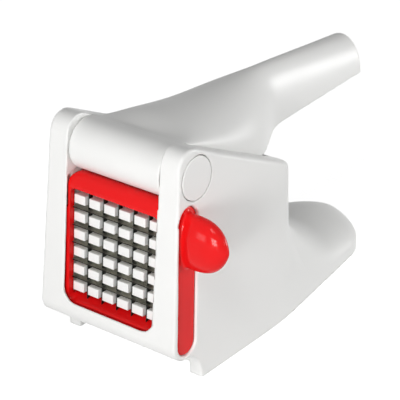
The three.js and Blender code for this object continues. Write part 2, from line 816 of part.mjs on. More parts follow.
function cassetteFrame() {
  let frame = barBody(cassetteRight)
    .intersect(box(cassetteLeft - overrun, cassetteRight, -overrun, cassetteFaceDepth,
      cassetteBottom - overrun, cassetteTop + overrun));
  const chute = polygon([
    [-overrun, chuteFrontZ - overrun * chuteDrop / chuteRun],
    [chuteRun, -openingHalfHeight],
    [cassetteDepth + overrun, -openingHalfHeight],
    [cassetteDepth + overrun, openingHalfHeight],
    [-overrun, openingHalfHeight],
  ]);
  frame = frame.subtract(across(chute, -openingHalfWidth, openingHalfWidth));
  frame = frame.subtract(box(cassetteLeft - overrun, 0, leftBarThickness, cassetteDepth,
    -openingHalfHeight, openingHalfHeight));
  frame = frame.add(box(cassetteLeft - tongueLength, -openingHalfWidth, 0, leftBarThickness,
    cassetteBottom + cassetteRadius, tongueTop));
  const slotHalf = bladeThickness / 2 + clearance;
  const slotEnd = openingHalfWidth + tabLength + clearance;
  for (const z of levelHeights) {
    frame = frame.subtract(box(-slotEnd, slotEnd, levelSetback - clearance, cassetteDepth, z - slotHalf,
      z + slotHalf));
  }
  for (const x of uprightPlaces) {
    frame = frame.subtract(box(x - slotHalf, x + slotHalf, uprightSetback - clearance, cassetteDepth,
      chuteFrontZ - tabLength - clearance, openingHalfHeight + tabLength + clearance));
  }
  return frame;
}

function cassetteRetainer() {
  return barBody(cassetteRight)
    .intersect(box(cassetteLeft - overrun, cassetteRight, cassetteFaceDepth + clearance,
      cassetteDepth + overrun, cassetteBottom - overrun, cassetteTop + overrun))
    .subtract(box(cassetteLeft - overrun, openingHalfWidth, 0, cassetteDepth + overrun,
      -openingHalfHeight, openingHalfHeight));
}

// Thumb tab: flattened round sections that narrow to a neck beside the body and close at the tip
function thumbTab() {
  const root = bodyHalfWidth - endPlateRecess;
  const tip = sideX(gridZ) + tabReach;
  const rings = [];
  for (let i = 0; i <= tabStations; i++) {
    const share = tabLastShare * Math.sin(i / tabStations * Math.PI / 2);
    const dome = (1 - share ** tabTipPower) ** tabTipRoundness;
    const neck = 1 - tabNeckDepthShare * Math.exp(-(((share - tabNeckShare) / tabNeckShare) ** 2));
    const x = root + share * (tip - root);
    rings.push(arcPoints(0, 0, 1, 0, 2 * Math.PI, tabSides).slice(0, -1).map(([c, s]) => [
      x,
      cassetteRadius + tabHalfDepth * dome * neck * c,
      tabRise + tabHalfHeight * dome * s,
    ]));
  }
  return solid(loft(rings));
}

function endPlate() {
  const toGrid = gridFrame.matrix.clone().invert();
  const recessed = solid(geometryOf(bodyBlock(endPlateRecess)).applyMatrix4(toGrid));
  return across(cassetteOutline(0), cassetteRight + clearance, acrossAll)
    .intersect(recessed)
    .add(thumbTab());
}

function levelBlade(z) {
  const half = bladeThickness / 2;
  const front = levelSetback;
  const back = levelSetback + levelBladeDepth;
  const profile = polygon([
    [front, z - half],
    [back - bladeEdge, z - half],
    [back, z],
    [back - bladeEdge, z + half],
    [front, z + half],
  ]);
  const reach = openingHalfWidth + tabLength;
  let blade = across(profile, -reach, reach);
  blade = blade.subtract(box(-reach - overrun, clearance - openingHalfWidth, leftBarThickness,
    back + overrun, z - overrun, z + overrun));
  const notch = bladeThickness / 2 + clearance;
  for (const x of uprightPlaces) {
    blade = blade.subtract(box(x - notch, x + notch, front - overrun,
      uprightSetback + uprightBladeDepth + clearance, z - overrun, z + overrun));
  }
  return blade;
}

function uprightBlade(x) {
  const half = bladeThickness / 2;
  const front = uprightSetback;
  const back = uprightSetback + uprightBladeDepth;
  const top = openingHalfHeight - clearance;
  const bottom = chuteFrontZ + clearance;
  return box(x - half, x + half, front, back, bottom - tabLength, top + tabLength);
}

// Assembly
const cutter = new THREE.Group();
const cassette = new THREE.Group();
const pusher = new THREE.Group();
for (const group of [cassette, pusher]) {
  group.position.copy(gridFrame.position);
  group.rotation.copy(gridFrame.rotation);
}
cutter.add(cassette, pusher);

const sides = [['left', -1], ['right', 1]];
const corners = ['front_left', 'front_right', 'rear_left', 'rear_right'];
const plateCorners = ['lower_left', 'lower_right', 'upper_left', 'upper_right'];

cutter.add(piece('body_shell', bodyShell(), whitePlastic));
cutter.add(piece('base_cover', baseCover(), innerPlastic));
corners.forEach((corner, i) => {
  cutter.add(piece(`base_screw_${corner}`, baseScrew(screwPlaces[i]), pinSteel));
  const [x, y] = padPlaces[i];
  cutter.add(piece(`foot_pad_${corner}`, post(padRadius, x, y, 0, padThickness, undefined, 28), rubber));
});
cutter.add(piece('hinge_axle', hingeAxle(), pinSteel));
for (const [name, side] of sides) {
  cutter.add(piece(`axle_bush_${name}`, axleBush(side), nylon));
  cutter.add(piece(`hinge_cap_${name}`, hingeCap(side), whitePlastic));
}
cutter.add(piece('lever_shell', leverShell(), whitePlastic));
cutter.add(piece('handle_liner', leverLiner(), innerPlastic));

pusher.add(piece('pusher_arm', pusherArm(), innerPlastic));
pusher.add(piece('stud_plate', studPlate(), whitePlastic));
rowHeights.forEach((z, i) => {
  pusher.add(piece(`stud_row_${i + 1}`, studRow(z), whitePlastic));
});
plateCorners.forEach((corner, i) => {
  pusher.add(piece(`stud_plate_screw_${corner}`, plateScrew(plateScrewPlaces[i]), pinSteel));
});
for (const [name, side] of sides) {
  pusher.add(piece(`arm_screw_${name}`, armScrew(side), pinSteel));
}

cassette.add(piece('cassette_frame', cassetteFrame(), redPlastic));
cassette.add(piece('cassette_retainer', cassetteRetainer(), redPlastic));
cassette.add(piece('cassette_end_plate', endPlate(), redPlastic));
levelHeights.forEach((z, i) => {
  cassette.add(piece(`level_blade_${i + 1}`, levelBlade(z), bladeSteel));
});
uprightPlaces.forEach((x, i) => {
  cassette.add(piece(`upright_blade_${i + 1}`, uprightBlade(x), bladeSteel));
});

export default cutter;
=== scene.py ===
"""A french fry cutter: white mouldings, a red blade cassette and steel blades, ready to render.

Every length is in metres. X runs to the user's right, Y from the front window to the rear, Z up.
The mouldings' fillets run into each other, which no single grid of two parameters can follow, so
each of them is a field: a function that is negative inside the plastic, zero on its surface and
positive outside. The surface is then worked out from the field in one go.
"""

import json
import math

import bpy
import numpy as np
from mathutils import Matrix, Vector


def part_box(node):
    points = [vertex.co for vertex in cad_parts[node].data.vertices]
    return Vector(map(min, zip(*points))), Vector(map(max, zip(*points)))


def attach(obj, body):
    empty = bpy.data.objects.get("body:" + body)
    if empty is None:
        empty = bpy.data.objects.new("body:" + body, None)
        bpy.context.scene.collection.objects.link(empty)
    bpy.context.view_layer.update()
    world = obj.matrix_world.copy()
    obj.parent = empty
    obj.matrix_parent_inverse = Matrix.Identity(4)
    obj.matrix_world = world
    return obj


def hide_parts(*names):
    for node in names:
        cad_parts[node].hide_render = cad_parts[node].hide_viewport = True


bl_info = {
    "name": "French fry cutter",
    "version": (1, 0, 0),
    "blender": (4, 5, 0),
    "location": "View3D > Sidebar > Cutter",
    "description": "Builds the finished surfaces of a lever-operated french fry cutter",
    "category": "Object",
}

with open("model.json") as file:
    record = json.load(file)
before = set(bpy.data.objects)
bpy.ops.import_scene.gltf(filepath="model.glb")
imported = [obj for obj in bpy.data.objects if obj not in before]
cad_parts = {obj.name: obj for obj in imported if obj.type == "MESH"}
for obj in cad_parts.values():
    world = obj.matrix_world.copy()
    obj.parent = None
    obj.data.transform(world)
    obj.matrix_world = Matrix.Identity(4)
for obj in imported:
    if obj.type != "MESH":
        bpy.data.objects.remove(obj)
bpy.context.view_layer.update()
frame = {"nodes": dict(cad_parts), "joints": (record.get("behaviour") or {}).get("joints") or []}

MM = 0.001
HINGE = next(joint for joint in frame["joints"] if joint["name"] == "lever_hinge")
HINGE_Y, HINGE_Z = HINGE["pos_m"][1], HINGE["pos_m"][2]
CLEARANCE = 0.3 * MM
NEARLY_ZERO = 1e-6

# The tail's form
TURN_SOFTNESS = 9 * MM
TAIL_START = 8 * MM
TAIL_DRAWN_IN = 0.5 * MM
NOSE_PLAN_POWER = 2.27
CREST_POWER, CREST_ROUNDNESS = 3.13, 2.98
SWOOSH_POWER = 1.8
LEAST_CREST = 0.1 * MM
ROUND_SECTION = 1.18

# The body's form
SWEEP_RUN = 36 * MM
RIM_EDGE_START, RIM_EDGE_RUN = 6 * MM, 14 * MM
CREASE_LOW, CREASE_RISE, CREASE_RUN = 14 * MM, 26 * MM, 7 * MM
LEAST_CREASE = 0.02
COVER_SEAT_EDGE = 0.2 * MM
CHAMBER_START, CHAMBER_EDGE = 3 * MM, 0.8 * MM
WINDOW_SLOPE, WINDOW_EDGE = 0.8, 0.5 * MM
PASSAGE_EDGE = 1.1 * MM
BORE_EDGE = 0.1 * MM
CAP_SEAT_EDGE = 0.45 * MM
BUSH_BORE, AXLE_BORE = 5.3 * MM, 3.3 * MM

# The lever's form
LEAST_HUMP = 0.3 * MM
LID_EDGE, BARREL_EDGE, HOLLOW_EDGE = 0.7 * MM, 0.6 * MM, 0.5 * MM

# The cassette's form
CLOSED_EDGE, OPEN_END_EDGE = 1.2 * MM, 0.5 * MM
SPLIT_EDGE, OPENING_EDGE, THIN_EDGE = 0.4 * MM, 0.7 * MM, 0.2 * MM
END_PLATE_EDGE, TAB_FILLET = 0.9 * MM, 1.1 * MM
TAB_NECK, TAB_NECK_PLACE = 0.16, 0.1
TAB_SECTION_POWER, TAB_REACH_POWER = 4 / 3, 4
TAB_FIELD_SCALE = 6

# The caps, studs and blades
CAP_EDGE = 0.5 * MM
STUDS, BLADES = 6, 5
STUD_HALF_WIDTH, STUD_HALF_HEIGHT, STUD_EDGE = 3.65 * MM, 2.5 * MM, 0.3 * MM
STUD_LOWERED = 0.3 * MM
SLAB_AIR, SLAB_DEPTH = 0.7 * MM, 2.5 * MM
SLAB_HALF_HEIGHT, SLAB_EDGE = 28.9 * MM, 0.5 * MM
BLADE_HOLD, BLADE_EDGE = 0.8 * MM, 0.08 * MM

# How the points settle on a surface, as shares of the cubes' edge
SETTLING_ROUNDS = 5
FARTHEST = 0.8
SETTLING_STEP, NORMAL_STEP = 0.02, 0.15

# The stage
FLOOR_HALF = 3.0
FLOOR_LIFT = 0.82
SURROUNDINGS, SEEN_SURROUNDINGS = 0.03, 1.0
LAMP_DISTANCE, LAMP_AIM = 1.1, 0.06
CAMERA_PLACE = (0.5260, -0.7028, 0.4940)
CAMERA_DOWN, CAMERA_ROUND = 26.489, 37.803
SENSOR, LENS = 36, 159.86


def length(label, text, millimetres):
    """A length in millimetres as a property in metres."""
    return bpy.props.FloatProperty(
        name=label, description=text, default=millimetres * MM, unit="LENGTH", precision=5
    )


def turn(label, text, degrees):
    """An angle in degrees as a property in radians."""
    return bpy.props.FloatProperty(
        name=label, description=text, default=math.radians(degrees), unit="ROTATION"
    )


def paint(label, text, colour):
    """A linear colour as a property."""
    return bpy.props.FloatVectorProperty(
        name=label, description=text, default=colour, size=3, subtype="COLOR", min=0, max=1
    )


class FRY_PG_body(bpy.types.PropertyGroup):
    """Sizes of the white body."""

    cell: length("Cell", "Spacing of the points on the body's surface", 1.15)
    half_width: length("Half width", "Half the body's width at the height of the hinge", 42.7)
    draft: bpy.props.FloatProperty(
        name="Side draft", description="How far the sides lean out per unit of height", default=0.03
    )
    plate_radius: length("Plate radius", "Radius of the body's top front about the hinge", 14.4)
    front_rake: turn("Front rake", "Angle of the front face from upright", 5.06)
    rim_slope: turn("Rim slope", "Angle of the sloping rim from level", 24.9)
    reach: length("Reach", "From the hinge to the outside of the rear wall", 86)
    rear_corner: length("Rear corner", "Radius of the two upright rear corners", 9)
    turn_start: length("Turn start", "How far in front of the middle the sides turn in most sharply", 10)
    edge: length("Edge", "Rounding of the outer edges", 1.3)
    rim_edge: length("Rim edge", "Rounding of the sloping rim's outer edges", 2.8)
    lip_height: length("Lip height", "Height of the underside in front of the feet", 16.6)
    lip_radius: length("Lip radius", "Radius of the lower front edge", 10)
    foot_forward: length("Foot", "Forward end of the feet", 82.3)
    foot_tip: length("Foot tip", "Height of the feet's upright tip", 2)
    foot_width: length("Foot width", "Width of each front foot", 8.2)
    foot_depth: length("Foot depth", "Depth of each front foot", 8.3)
    wall: length("Wall", "Wall thickness of the mouldings", 2.5)
    chamber_half: length("Chamber half width", "Half the width of the potato chamber", 29.8)
    floor_drop: length("Floor drop", "From the hinge down to the chamber floor", 84.3)
    floor_curve: length("Floor curve", "Radius of the floor's rise to the rear wall", 38)
    window_drop: length("Window drop", "From the grid's middle to the window's lower edge", 32.1)
    window_corner: length("Window corner", "Radius of the window's lower corners", 8)
    window_land: length("Window land", "Depth of the window's straight edge", 0.8)
    window_flare: length("Window flare", "Depth of the undercut behind the window's edge", 2.4)
    slot_edge: length("Slot edge", "Rounding of the cassette slot's edge", 0.9)
    cap_radius: length("Cap radius", "Radius of the hinge caps", 11.5)
    cap_depth: length("Cap depth", "Depth of the hinge caps", 2.3)
    cap_gap: length("Cap gap", "Gap round the hinge caps", 0.5)
    rear_sweep: length("Rear sweep", "How far the rear corners sweep back over the tail", 15)
    sweep_height: length("Sweep height", "Height where the rear corners start to sweep back", 60)
    cover: length("Cover", "Thickness of the base cover", 3)


class FRY_PG_tail(bpy.types.PropertyGroup):
    """Sizes of the rounded tail behind the body."""

    reach: length("Reach", "Y of the tail's nose", 104.9)
    nose_start: length("Nose start", "Y where the plan starts to close", 75.2)
    root_half: length("Root half width", "Half width at the body", 46.05)
    nose_half: length("Nose half width", "Half width where the plan starts to close", 33.9)
    skirt: length("Skirt", "Height of the upright skirt", 6.25)
    nose: length("Nose", "Height of the rounded nose over the skirt", 16.4)
    swoosh: length("Swoosh", "Extra height of the crest at the body", 51.3)
    swoosh_reach: length("Swoosh reach", "Y where the extra height ends", 62)
    crease: length("Crease", "Radius of the crease between tail and body", 2.6)
    blunt: bpy.props.FloatProperty(
        name="Blunt",
        description="Share of the nose's length where its plan stops narrowing",
        default=0.985,
    )
    boxy: bpy.props.FloatProperty(
        name="Boxy", description="How square the tail's section is at the body", default=0.56
    )


class FRY_PG_lever(bpy.types.PropertyGroup):
    """Sizes of the lever."""

    cell: length("Cell", "Spacing of the points on the lever's surface", 0.95)
    barrel: length("Barrel", "Radius of the hinge barrel", 14)
    half: length("Half width", "Half the length of the barrel", 29.4)
    reach: length("Reach", "From the hinge to the end of the handle", 192)
    ridge: length("Ridge", "Height of the ridge over the hinge", 15)
    tip_half: length("Tip half width", "Half width at the end of the handle", 14)
    root_half: length("Root half width", "Half width at the root of the handle", 12.6)
    tip_drop: length("Tip drop", "From the hinge down to the handle's lower edge at its end", 13.5)
    root_drop: length("Root drop", "From the hinge down to the handle's lower edge at its root", 19.2)
    blend: length("Blend", "Blend between the lid's edge and the handle's edge", 6.6)
    skirt: length("Skirt", "Depth of the lid's upright edge", 5)
    flare_start: length("Flare start", "From the hinge to where the lid starts to narrow", 77.4)
    flare_end: length("Flare end", "From the hinge to where the handle is at its width", 107.4)
    flare_blend: bpy.props.FloatProperty(
        name="Flare blend", description="How softly the lid starts to narrow", default=0.38
    )
    wall: length("Wall", "Wall thickness of the lever", 2.6)
    valley: length("Valley", "Radius of the valley behind the barrel", 1.6)
    tip_edge: length("Tip edge", "Rounding at the end of the handle", 1.3)


class FRY_PG_cassette(bpy.types.PropertyGroup):
    """Sizes of the red cassette and its thumb tab."""

    cell: length("Cell", "Spacing of the points on the cassette's surfaces", 0.6)
    grid_drop: length("Grid drop", "From the hinge down to the middle of the grid", 52.33)
    recess: length("Recess", "How far the cassette lies behind the front face", 2.7)
    rake: turn("Rake", "Angle of the cassette from upright", 3.7)
    depth: length("Depth", "Depth of the cassette", 14.2)
    face_depth: length("Face depth", "Depth of the front frame", 8.9)
    lower_bar: length("Lower bar", "Height of the bar under the grid", 12.2)
    barrel_air: length("Barrel air", "Gap between the cassette and the barrel", 0.55)
    slot_gap: length("Slot gap", "Gap round the cassette in its slot", 0.35)
    corner: length("Corner", "Radius of the two closed corners", 4.5)
    opening_corner: length("Opening corner", "Radius of the opening's corners", 3)
    opening_rise: length("Opening rise", "How far the front opening reaches up over the rear one", 1.4)
    tuck: length("Tuck", "How far the closed side reaches past the chamber", 1.1)
    tongue: length("Tongue", "Length of the tongue on the closed side", 3.1)
    tongue_top: length("Tongue top", "Height of the tongue over the grid's middle", 20)
    side_bar: length("Side bar", "Thickness of the closed side's bar", 4)
    half_width: length("Opening half width", "Half the width of the grid's opening", 29.1)
    half_height: length("Opening half height", "Half the height of the grid's opening", 30)
    chute_drop: length("Chute drop", "How far the sill under the grid slopes down", 2.4)
    chute_run: length("Chute run", "Depth of the sloping sill", 8)
    pitch: length("Pitch", "Pitch of the blades", 10)
    blade: length("Blade", "Thickness of the blades", 0.6)
    level_setback: length("Level setback", "How far the level blades lie behind the face", 2.4)
    level_depth: length("Level depth", "Depth of the level blades", 6.2)
    upright_setback: length("Upright setback", "How far the upright blades lie behind the face", 4.5)
    upright_depth: length("Upright depth", "Depth of the upright blades", 3)
    stud_recess: length("Stud recess", "How far the studs end behind the cassette's face", 3.2)
    end_right: length("End", "X of the frame's right-hand end", 39.5)
    plate_recess: length("Plate recess", "How far the end plate lies inside the side face", 1.2)
    tab_reach: length("Tab reach", "How far the thumb tab stands out of the side", 24.2)
    tab_height: length("Tab half height", "Half the height of the thumb tab", 15)
    tab_depth: length("Tab half depth", "Half the thickness of the thumb tab", 6.7)
    tab_rise: length("Tab rise", "Height of the tab over the grid's middle", 22)


class FRY_PG_colours(bpy.types.PropertyGroup):
    """Colours of the finishes."""

    white: paint("White", "Outer mouldings", (0.88, 0.88, 0.865))
    inner: paint("Inner", "Inner mouldings", (0.86, 0.86, 0.84))
    red: paint("Red", "Cassette", (0.8, 0.008, 0.009))
    blade: paint("Level blade", "Steel of the level blades", (0.56, 0.545, 0.47))
    # Painted shade: the upright blades' steel is near black, standing in for the shaded gaps between the
    # studs.
    upright: paint("Upright blade", "Steel of the upright blades", (0.05, 0.055, 0.05))
    pin: paint("Pin", "Screws and axle", (0.6, 0.6, 0.6))
    nylon: paint("Nylon", "Bushes", (0.8, 0.78, 0.7))
    rubber: paint("Rubber", "Foot pads", (0.05, 0.05, 0.052))
    floor: paint("Floor", "Floor under the cutter", (0.6, 0.6, 0.6))


# Fields


def joined(a, b, radius):
    """The union of two fields, with a concave fillet of the given radius where they meet."""
    gap = np.hypot(np.maximum(radius - a, 0), np.maximum(radius - b, 0))
    return np.maximum(radius, np.minimum(a, b)) - gap


def common(a, b, radius):
    """The intersection of two fields, with a rounded edge of the given radius where they meet."""
    gap = np.hypot(np.maximum(radius + a, 0), np.maximum(radius + b, 0))
    return np.minimum(-radius, np.maximum(a, b)) + gap


def cut(a, b, radius):
    """The first field with the second taken away, and a rounded edge where they meet."""
    return common(a, -b, radius)


def cornered(u, v, radius):
    """A quarter plane with a rounded corner: inside where u and v are both under zero."""
    outside = np.hypot(np.maximum(u + radius, 0), np.maximum(v + radius, 0))
    return outside + np.minimum(np.maximum(u + radius, v + radius), 0) - radius


def block(*sides):
    """The common part of several half spaces, with sharp edges."""
    return np.maximum.reduce(np.broadcast_arrays(*sides))


def oval(u, v, half_u, half_v):
    """Distance to an ellipse in the plane, to first order: how far u and v, taken as shares of the
    half axes, lie from the unit circle, divided by how fast that share changes."""
    share = np.hypot(u / half_u, v / half_v)
    change = np.hypot(u / half_u**2, v / half_v**2)
    least = NEARLY_ZERO / np.maximum(half_u, half_v)
    return (share - 1) * (share + NEARLY_ZERO) / (change + least)


def raked(y, z, angle, y0, z0):
    """Depth and height in a plane that leans back by an angle about a point."""
    dy, dz = y - y0, z - z0
    return dy * math.cos(angle) - dz * math.sin(angle), dy * math.sin(angle) + dz * math.cos(angle)


def front_y(b, z):
    """Y of the raked front face, which touches the circle of the plate about the hinge."""
    rake = b.front_rake
    return HINGE_Y - b.plate_radius / math.cos(rake) - (HINGE_Z - z) * math.tan(rake)


def side_x(b, z):
    """X of the side face at a height."""
    return b.half_width + (HINGE_Z - z) * b.draft


def turn_in(s, y):
    """How far the sides have turned in at a station: nothing in front, then in line with the tail's
    sides, with a soft bend between the two."""
    t = s.tail
    slope = (t.root_half - t.nose_half) / (t.nose_start + s.body.turn_start)
    past = y + s.body.turn_start
    return slope * (past + np.sqrt(past**2 + TURN_SOFTNESS**2)) / 2


def grid_place(b, c):
    """Y and Z of the middle of the grid on the cassette's front face."""
    z = HINGE_Z - c.grid_drop
    return front_y(b, z) + c.recess, z


def cassette_top(b, c, barrel):
    """Height of the cassette's top edge over the grid: its round edge clears the barrel."""
    w, v = raked(HINGE_Y, HINGE_Z, c.rake, *grid_place(b, c))
    reach = barrel + c.barrel_air + c.depth / 2
    return v - math.sqrt(reach**2 - (w - c.depth / 2) ** 2) + c.depth / 2


def stadium(b, c, barrel, w, v, margin):
    """The cassette's side view, a bar with round ends, grown by a margin: the distance to its
    middle line less half its depth."""
    top = cassette_top(b, c, barrel) - c.depth / 2
    bottom = -c.half_height - c.lower_bar + c.depth / 2
    return np.hypot(w - c.depth / 2, v - np.clip(v, bottom, top)) - c.depth / 2 - margin


def tail_field(s, x, y, z):
    """The rounded tail. Its plan narrows along Y and closes in a rounded nose with a small flat at
    its tip, its crest falls in a swoosh, and each cross-section is a superellipse that turns from
    boxy to round."""
    t = s.tail
    into = np.clip((y - t.nose_start) / (t.reach - t.nose_start), 0, t.blunt)
    half = (t.root_half - turn_in(s, y)) * np.sqrt(1 - into**NOSE_PLAN_POWER)
    half = half - TAIL_DRAWN_IN * np.clip(-y / TAIL_START, 0, 1)
    half = np.maximum(half - s.body.draft * z, MM)
    along = np.clip(y / t.reach, 0, 1)
    crest = t.nose * (1 - along**CREST_POWER) ** (1 / CREST_ROUNDNESS)
    swoosh = t.swoosh * np.clip(1 - y / t.swoosh_reach, 0, 2) ** SWOOSH_POWER
    crest = crest + swoosh + LEAST_CREST
    power = 2 / (t.boxy + (ROUND_SECTION - t.boxy) * np.clip(y / t.nose_start, 0, 1))
    across = np.abs(x) / half
    up = np.maximum(z - t.skirt, 0) / crest
    share = (across**power + up**power) ** (1 / power)
    solid = (share - 1) * np.minimum(half, crest + t.skirt)
    return block(solid, y - t.reach, -z, -TAIL_START - y)


def body_field(s, x, y, z):
    """The white body: a block with a drafted plan and a side view of front face, round top, sloping
    rim, round lower lip and arch, joined to the tail, less every opening."""
    b, t = s.body, s.tail
    ax = np.abs(x)
    side = ax - side_x(b, z) + turn_in(s, y)
    sweep = b.rear_sweep * (np.maximum(b.sweep_height - z, 0) / SWEEP_RUN) ** 2
    plan = common(side, y - HINGE_Y - b.reach - sweep, b.rear_corner)
    front = (front_y(b, z) - y) * math.cos(b.front_rake)
    rim_height = HINGE_Z + b.plate_radius / math.cos(b.rim_slope)
    rim = (z - rim_height + (y - HINGE_Y) * math.tan(b.rim_slope)) * math.cos(b.rim_slope)
    outline = common(front, rim, b.plate_radius)
    lip_y = front_y(b, b.lip_height + b.lip_radius) + b.lip_radius / math.cos(b.front_rake)
    run, rise = -b.foot_forward - lip_y, b.lip_height - b.foot_tip
    out, over = np.maximum(y - lip_y, 0) / run, np.maximum(z - b.foot_tip, 0) / rise
    scale = (out * run + over * rise + NEARLY_ZERO) / (out + over + NEARLY_ZERO / rise)
    arch = (np.hypot(out, over) - 1) * scale
    outline = common(outline, -arch, b.lip_radius)
    behind = np.clip((y - HINGE_Y - RIM_EDGE_START) / RIM_EDGE_RUN, 0, 1)
    shell = common(plan, outline, b.edge + (b.rim_edge - b.edge) * behind)
    shell = common(shell, -z, b.edge / 2)
    feet = block(ax - side_x(b, 0) + b.foot_width, y + b.foot_forward - b.foot_depth, z - b.lip_height)
    shell = cut(shell, feet, b.edge / 2)
    crease = t.crease * np.clip((z - CREASE_LOW) / CREASE_RISE, LEAST_CREASE, 1)
    crease = crease * np.clip((y + TAIL_START) / CREASE_RUN, LEAST_CREASE, 1)
    shell = joined(shell, tail_field(s, x, y, z), crease)
    cavity_front = -b.foot_forward + b.foot_depth + b.wall
    cover = block(shell + b.wall, z - b.cover - CLEARANCE, cavity_front - y)
    shell = cut(shell, cover, COVER_SEAT_EDGE)
    return cut_openings(s, shell, x, y, z)


def cut_openings(s, shell, x, y, z):
    """Takes the chamber, the window, the cassette's slot, the barrel's place, the cap recesses and
    the bush bores out of the body."""
    b, c, barrel = s.body, s.cassette, s.lever.barrel
    ax = np.abs(x)
    grid_y, grid_z = grid_place(b, c)
    w, v = raked(y, z, c.rake, grid_y, grid_z)
    rear = y - (HINGE_Y + b.reach - b.wall)
    below = (HINGE_Z - b.floor_drop) - z
    bowl = cornered(rear, below, b.floor_curve)
    chamber = block(bowl, ax - b.chamber_half, CHAMBER_START - w)
    shell = cut(shell, chamber, CHAMBER_EDGE)
    depth, height = raked(y, z, b.front_rake, front_y(b, grid_z), grid_z)
    flare = np.clip(depth - b.window_land, 0, b.window_flare)
    flare = flare * np.clip((HINGE_Z - barrel - z) / MM, 0, 1)
    opening = cornered(ax - b.chamber_half, -height - b.window_drop, b.window_corner) - flare
    window = block(opening * WINDOW_SLOPE, depth - c.recess - b.window_flare)
    shell = cut(shell, window, WINDOW_EDGE)
    passage = block(ax - b.chamber_half, y - HINGE_Y, HINGE_Z - barrel - c.barrel_air - z)
    shell = cut(shell, passage, PASSAGE_EDGE)
    left = -b.chamber_half - c.tuck - CLEARANCE
    tunnel = block(stadium(b, c, barrel, w, v, c.slot_gap), left - x)
    shell = cut(shell, tunnel, b.slot_edge)
    tongue_low = -c.half_height - c.lower_bar + c.depth / 2 - CLEARANCE
    pocket = block(
        left - c.tongue - x, x + b.chamber_half, -CLEARANCE - w, w - c.side_bar - CLEARANCE,
        tongue_low - v, v - c.tongue_top - CLEARANCE,
    )
    shell = cut(shell, pocket, BORE_EDGE)
    spoke = np.hypot(y - HINGE_Y, z - HINGE_Z)
    seat = b.half_width - b.cap_depth - CLEARANCE
    shell = cut(shell, block(spoke - b.cap_radius - b.cap_gap, seat - ax), CAP_SEAT_EDGE)
    return cut(shell, block(spoke - BUSH_BORE, ax - seat - MM), BORE_EDGE)


RIDGE_REACH_SHARES = (0.032, 0.115, 0.219, 0.349, 0.479, 0.74, 1)
RIDGE_RISE_SHARES = (0.847, 1.047, 1, 0.96, 0.987, 0.793, 0.52)


def ridge_height(lever, y):
    """Height of the lever's ridge: the cubic spline through its stations whose bend is nothing at
    both ends. The bends at the stations between solve one line of equations each."""
    at = HINGE_Y + np.array(RIDGE_REACH_SHARES) * lever.reach
    height = HINGE_Z + np.array(RIDGE_RISE_SHARES) * lever.ridge
    gap, rise = np.diff(at), np.diff(height) / np.diff(at)
    rows = np.diag(2 * (gap[:-1] + gap[1:])) + np.diag(gap[1:-1], 1) + np.diag(gap[1:-1], -1)
    bend = np.concatenate([[0], np.linalg.solve(rows, 6 * np.diff(rise)), [0]])
    clipped = np.clip(y, at[0], at[-1])
    i = np.clip(np.searchsorted(at, clipped) - 1, 0, len(at) - 2)
    before, after = clipped - at[i], at[i + 1] - clipped
    curve = (bend[i] * after**3 + bend[i + 1] * before**3) / (6 * gap[i])
    first = (height[i] / gap[i] - bend[i] * gap[i] / 6) * after
    second = (height[i + 1] / gap[i] - bend[i + 1] * gap[i] / 6) * before
    return curve + first + second


def lever_section(s, y):
    """Half width, top, lower edge and skirt depth of the lever at a station along Y."""
    lever, b = s.lever, s.body
    to_root = (HINGE_Y + lever.reach - y) / (lever.reach / 2)
    grip = lever.tip_half + (lever.root_half - lever.tip_half) * np.clip(to_root, 0, 1)
    handle = HINGE_Z - lever.tip_drop - (lever.root_drop - lever.tip_drop) * to_root
    slope = math.tan(b.rim_slope)
    lid = HINGE_Z + lever.barrel / math.cos(b.rim_slope) - (y - HINGE_Y) * slope
    edge = (handle + lid + np.sqrt((handle - lid) ** 2 + lever.blend**2)) / 2
    flare = (y - HINGE_Y - lever.flare_start) / (lever.flare_end - lever.flare_start)
    left = 1 - (flare + np.hypot(flare, lever.flare_blend)) / 2
    share = (left + np.hypot(left, lever.flare_blend / 2)) / 2
    half = grip + (lever.half - grip) * share
    top = ridge_height(lever, y)
    return half, top, np.minimum(edge, top - LEAST_HUMP), lever.skirt * share


def lever_field(s, x, y, z):
    """The lever: half-ellipse sections along Y over a short upright skirt, joined to the barrel by a
    soft valley, and hollow from below."""
    lever = s.lever
    half, top, edge, skirt = lever_section(s, y)
    spoke = np.hypot(y - HINGE_Y, z - HINGE_Z)
    above = np.maximum(z - edge, 0)
    hump = oval(x, above, half, top - edge)
    hump = common(hump, edge - skirt - z, LID_EDGE)
    hump = common(hump, y - HINGE_Y - lever.reach, lever.tip_edge)
    hump = block(hump, HINGE_Y + lever.barrel * math.sin(s.body.rim_slope) - y)
    barrel = common(spoke - lever.barrel, np.abs(x) - lever.half, BARREL_EDGE)
    solid = joined(barrel, hump, lever.valley)
    inner = oval(x, above, half - lever.wall, np.maximum(top - lever.wall - edge, MM))
    start = HINGE_Y + lever.barrel + CLEARANCE
    end = HINGE_Y + lever.reach - lever.wall
    hollow = block(inner, start - y, y - end, lever.barrel - spoke)
    solid = cut(solid, hollow, HOLLOW_EDGE)
    return cut(solid, spoke - AXLE_BORE, BORE_EDGE)


def bar_field(s, x, w, v):
    """The cassette's whole bar, with its two closed corners rounded."""
    b, c = s.body, s.cassette
    top = cassette_top(b, c, s.lever.barrel)
    bottom = -c.half_height - c.lower_bar
    left = -b.chamber_half - c.tuck
    closed = cornered(left - x, np.abs(v - (top + bottom) / 2) - (top - bottom) / 2, c.corner)
    bar = common(stadium(b, c, s.lever.barrel, w, v, 0), closed, CLOSED_EDGE)
    return common(bar, x - c.end_right, OPEN_END_EDGE)


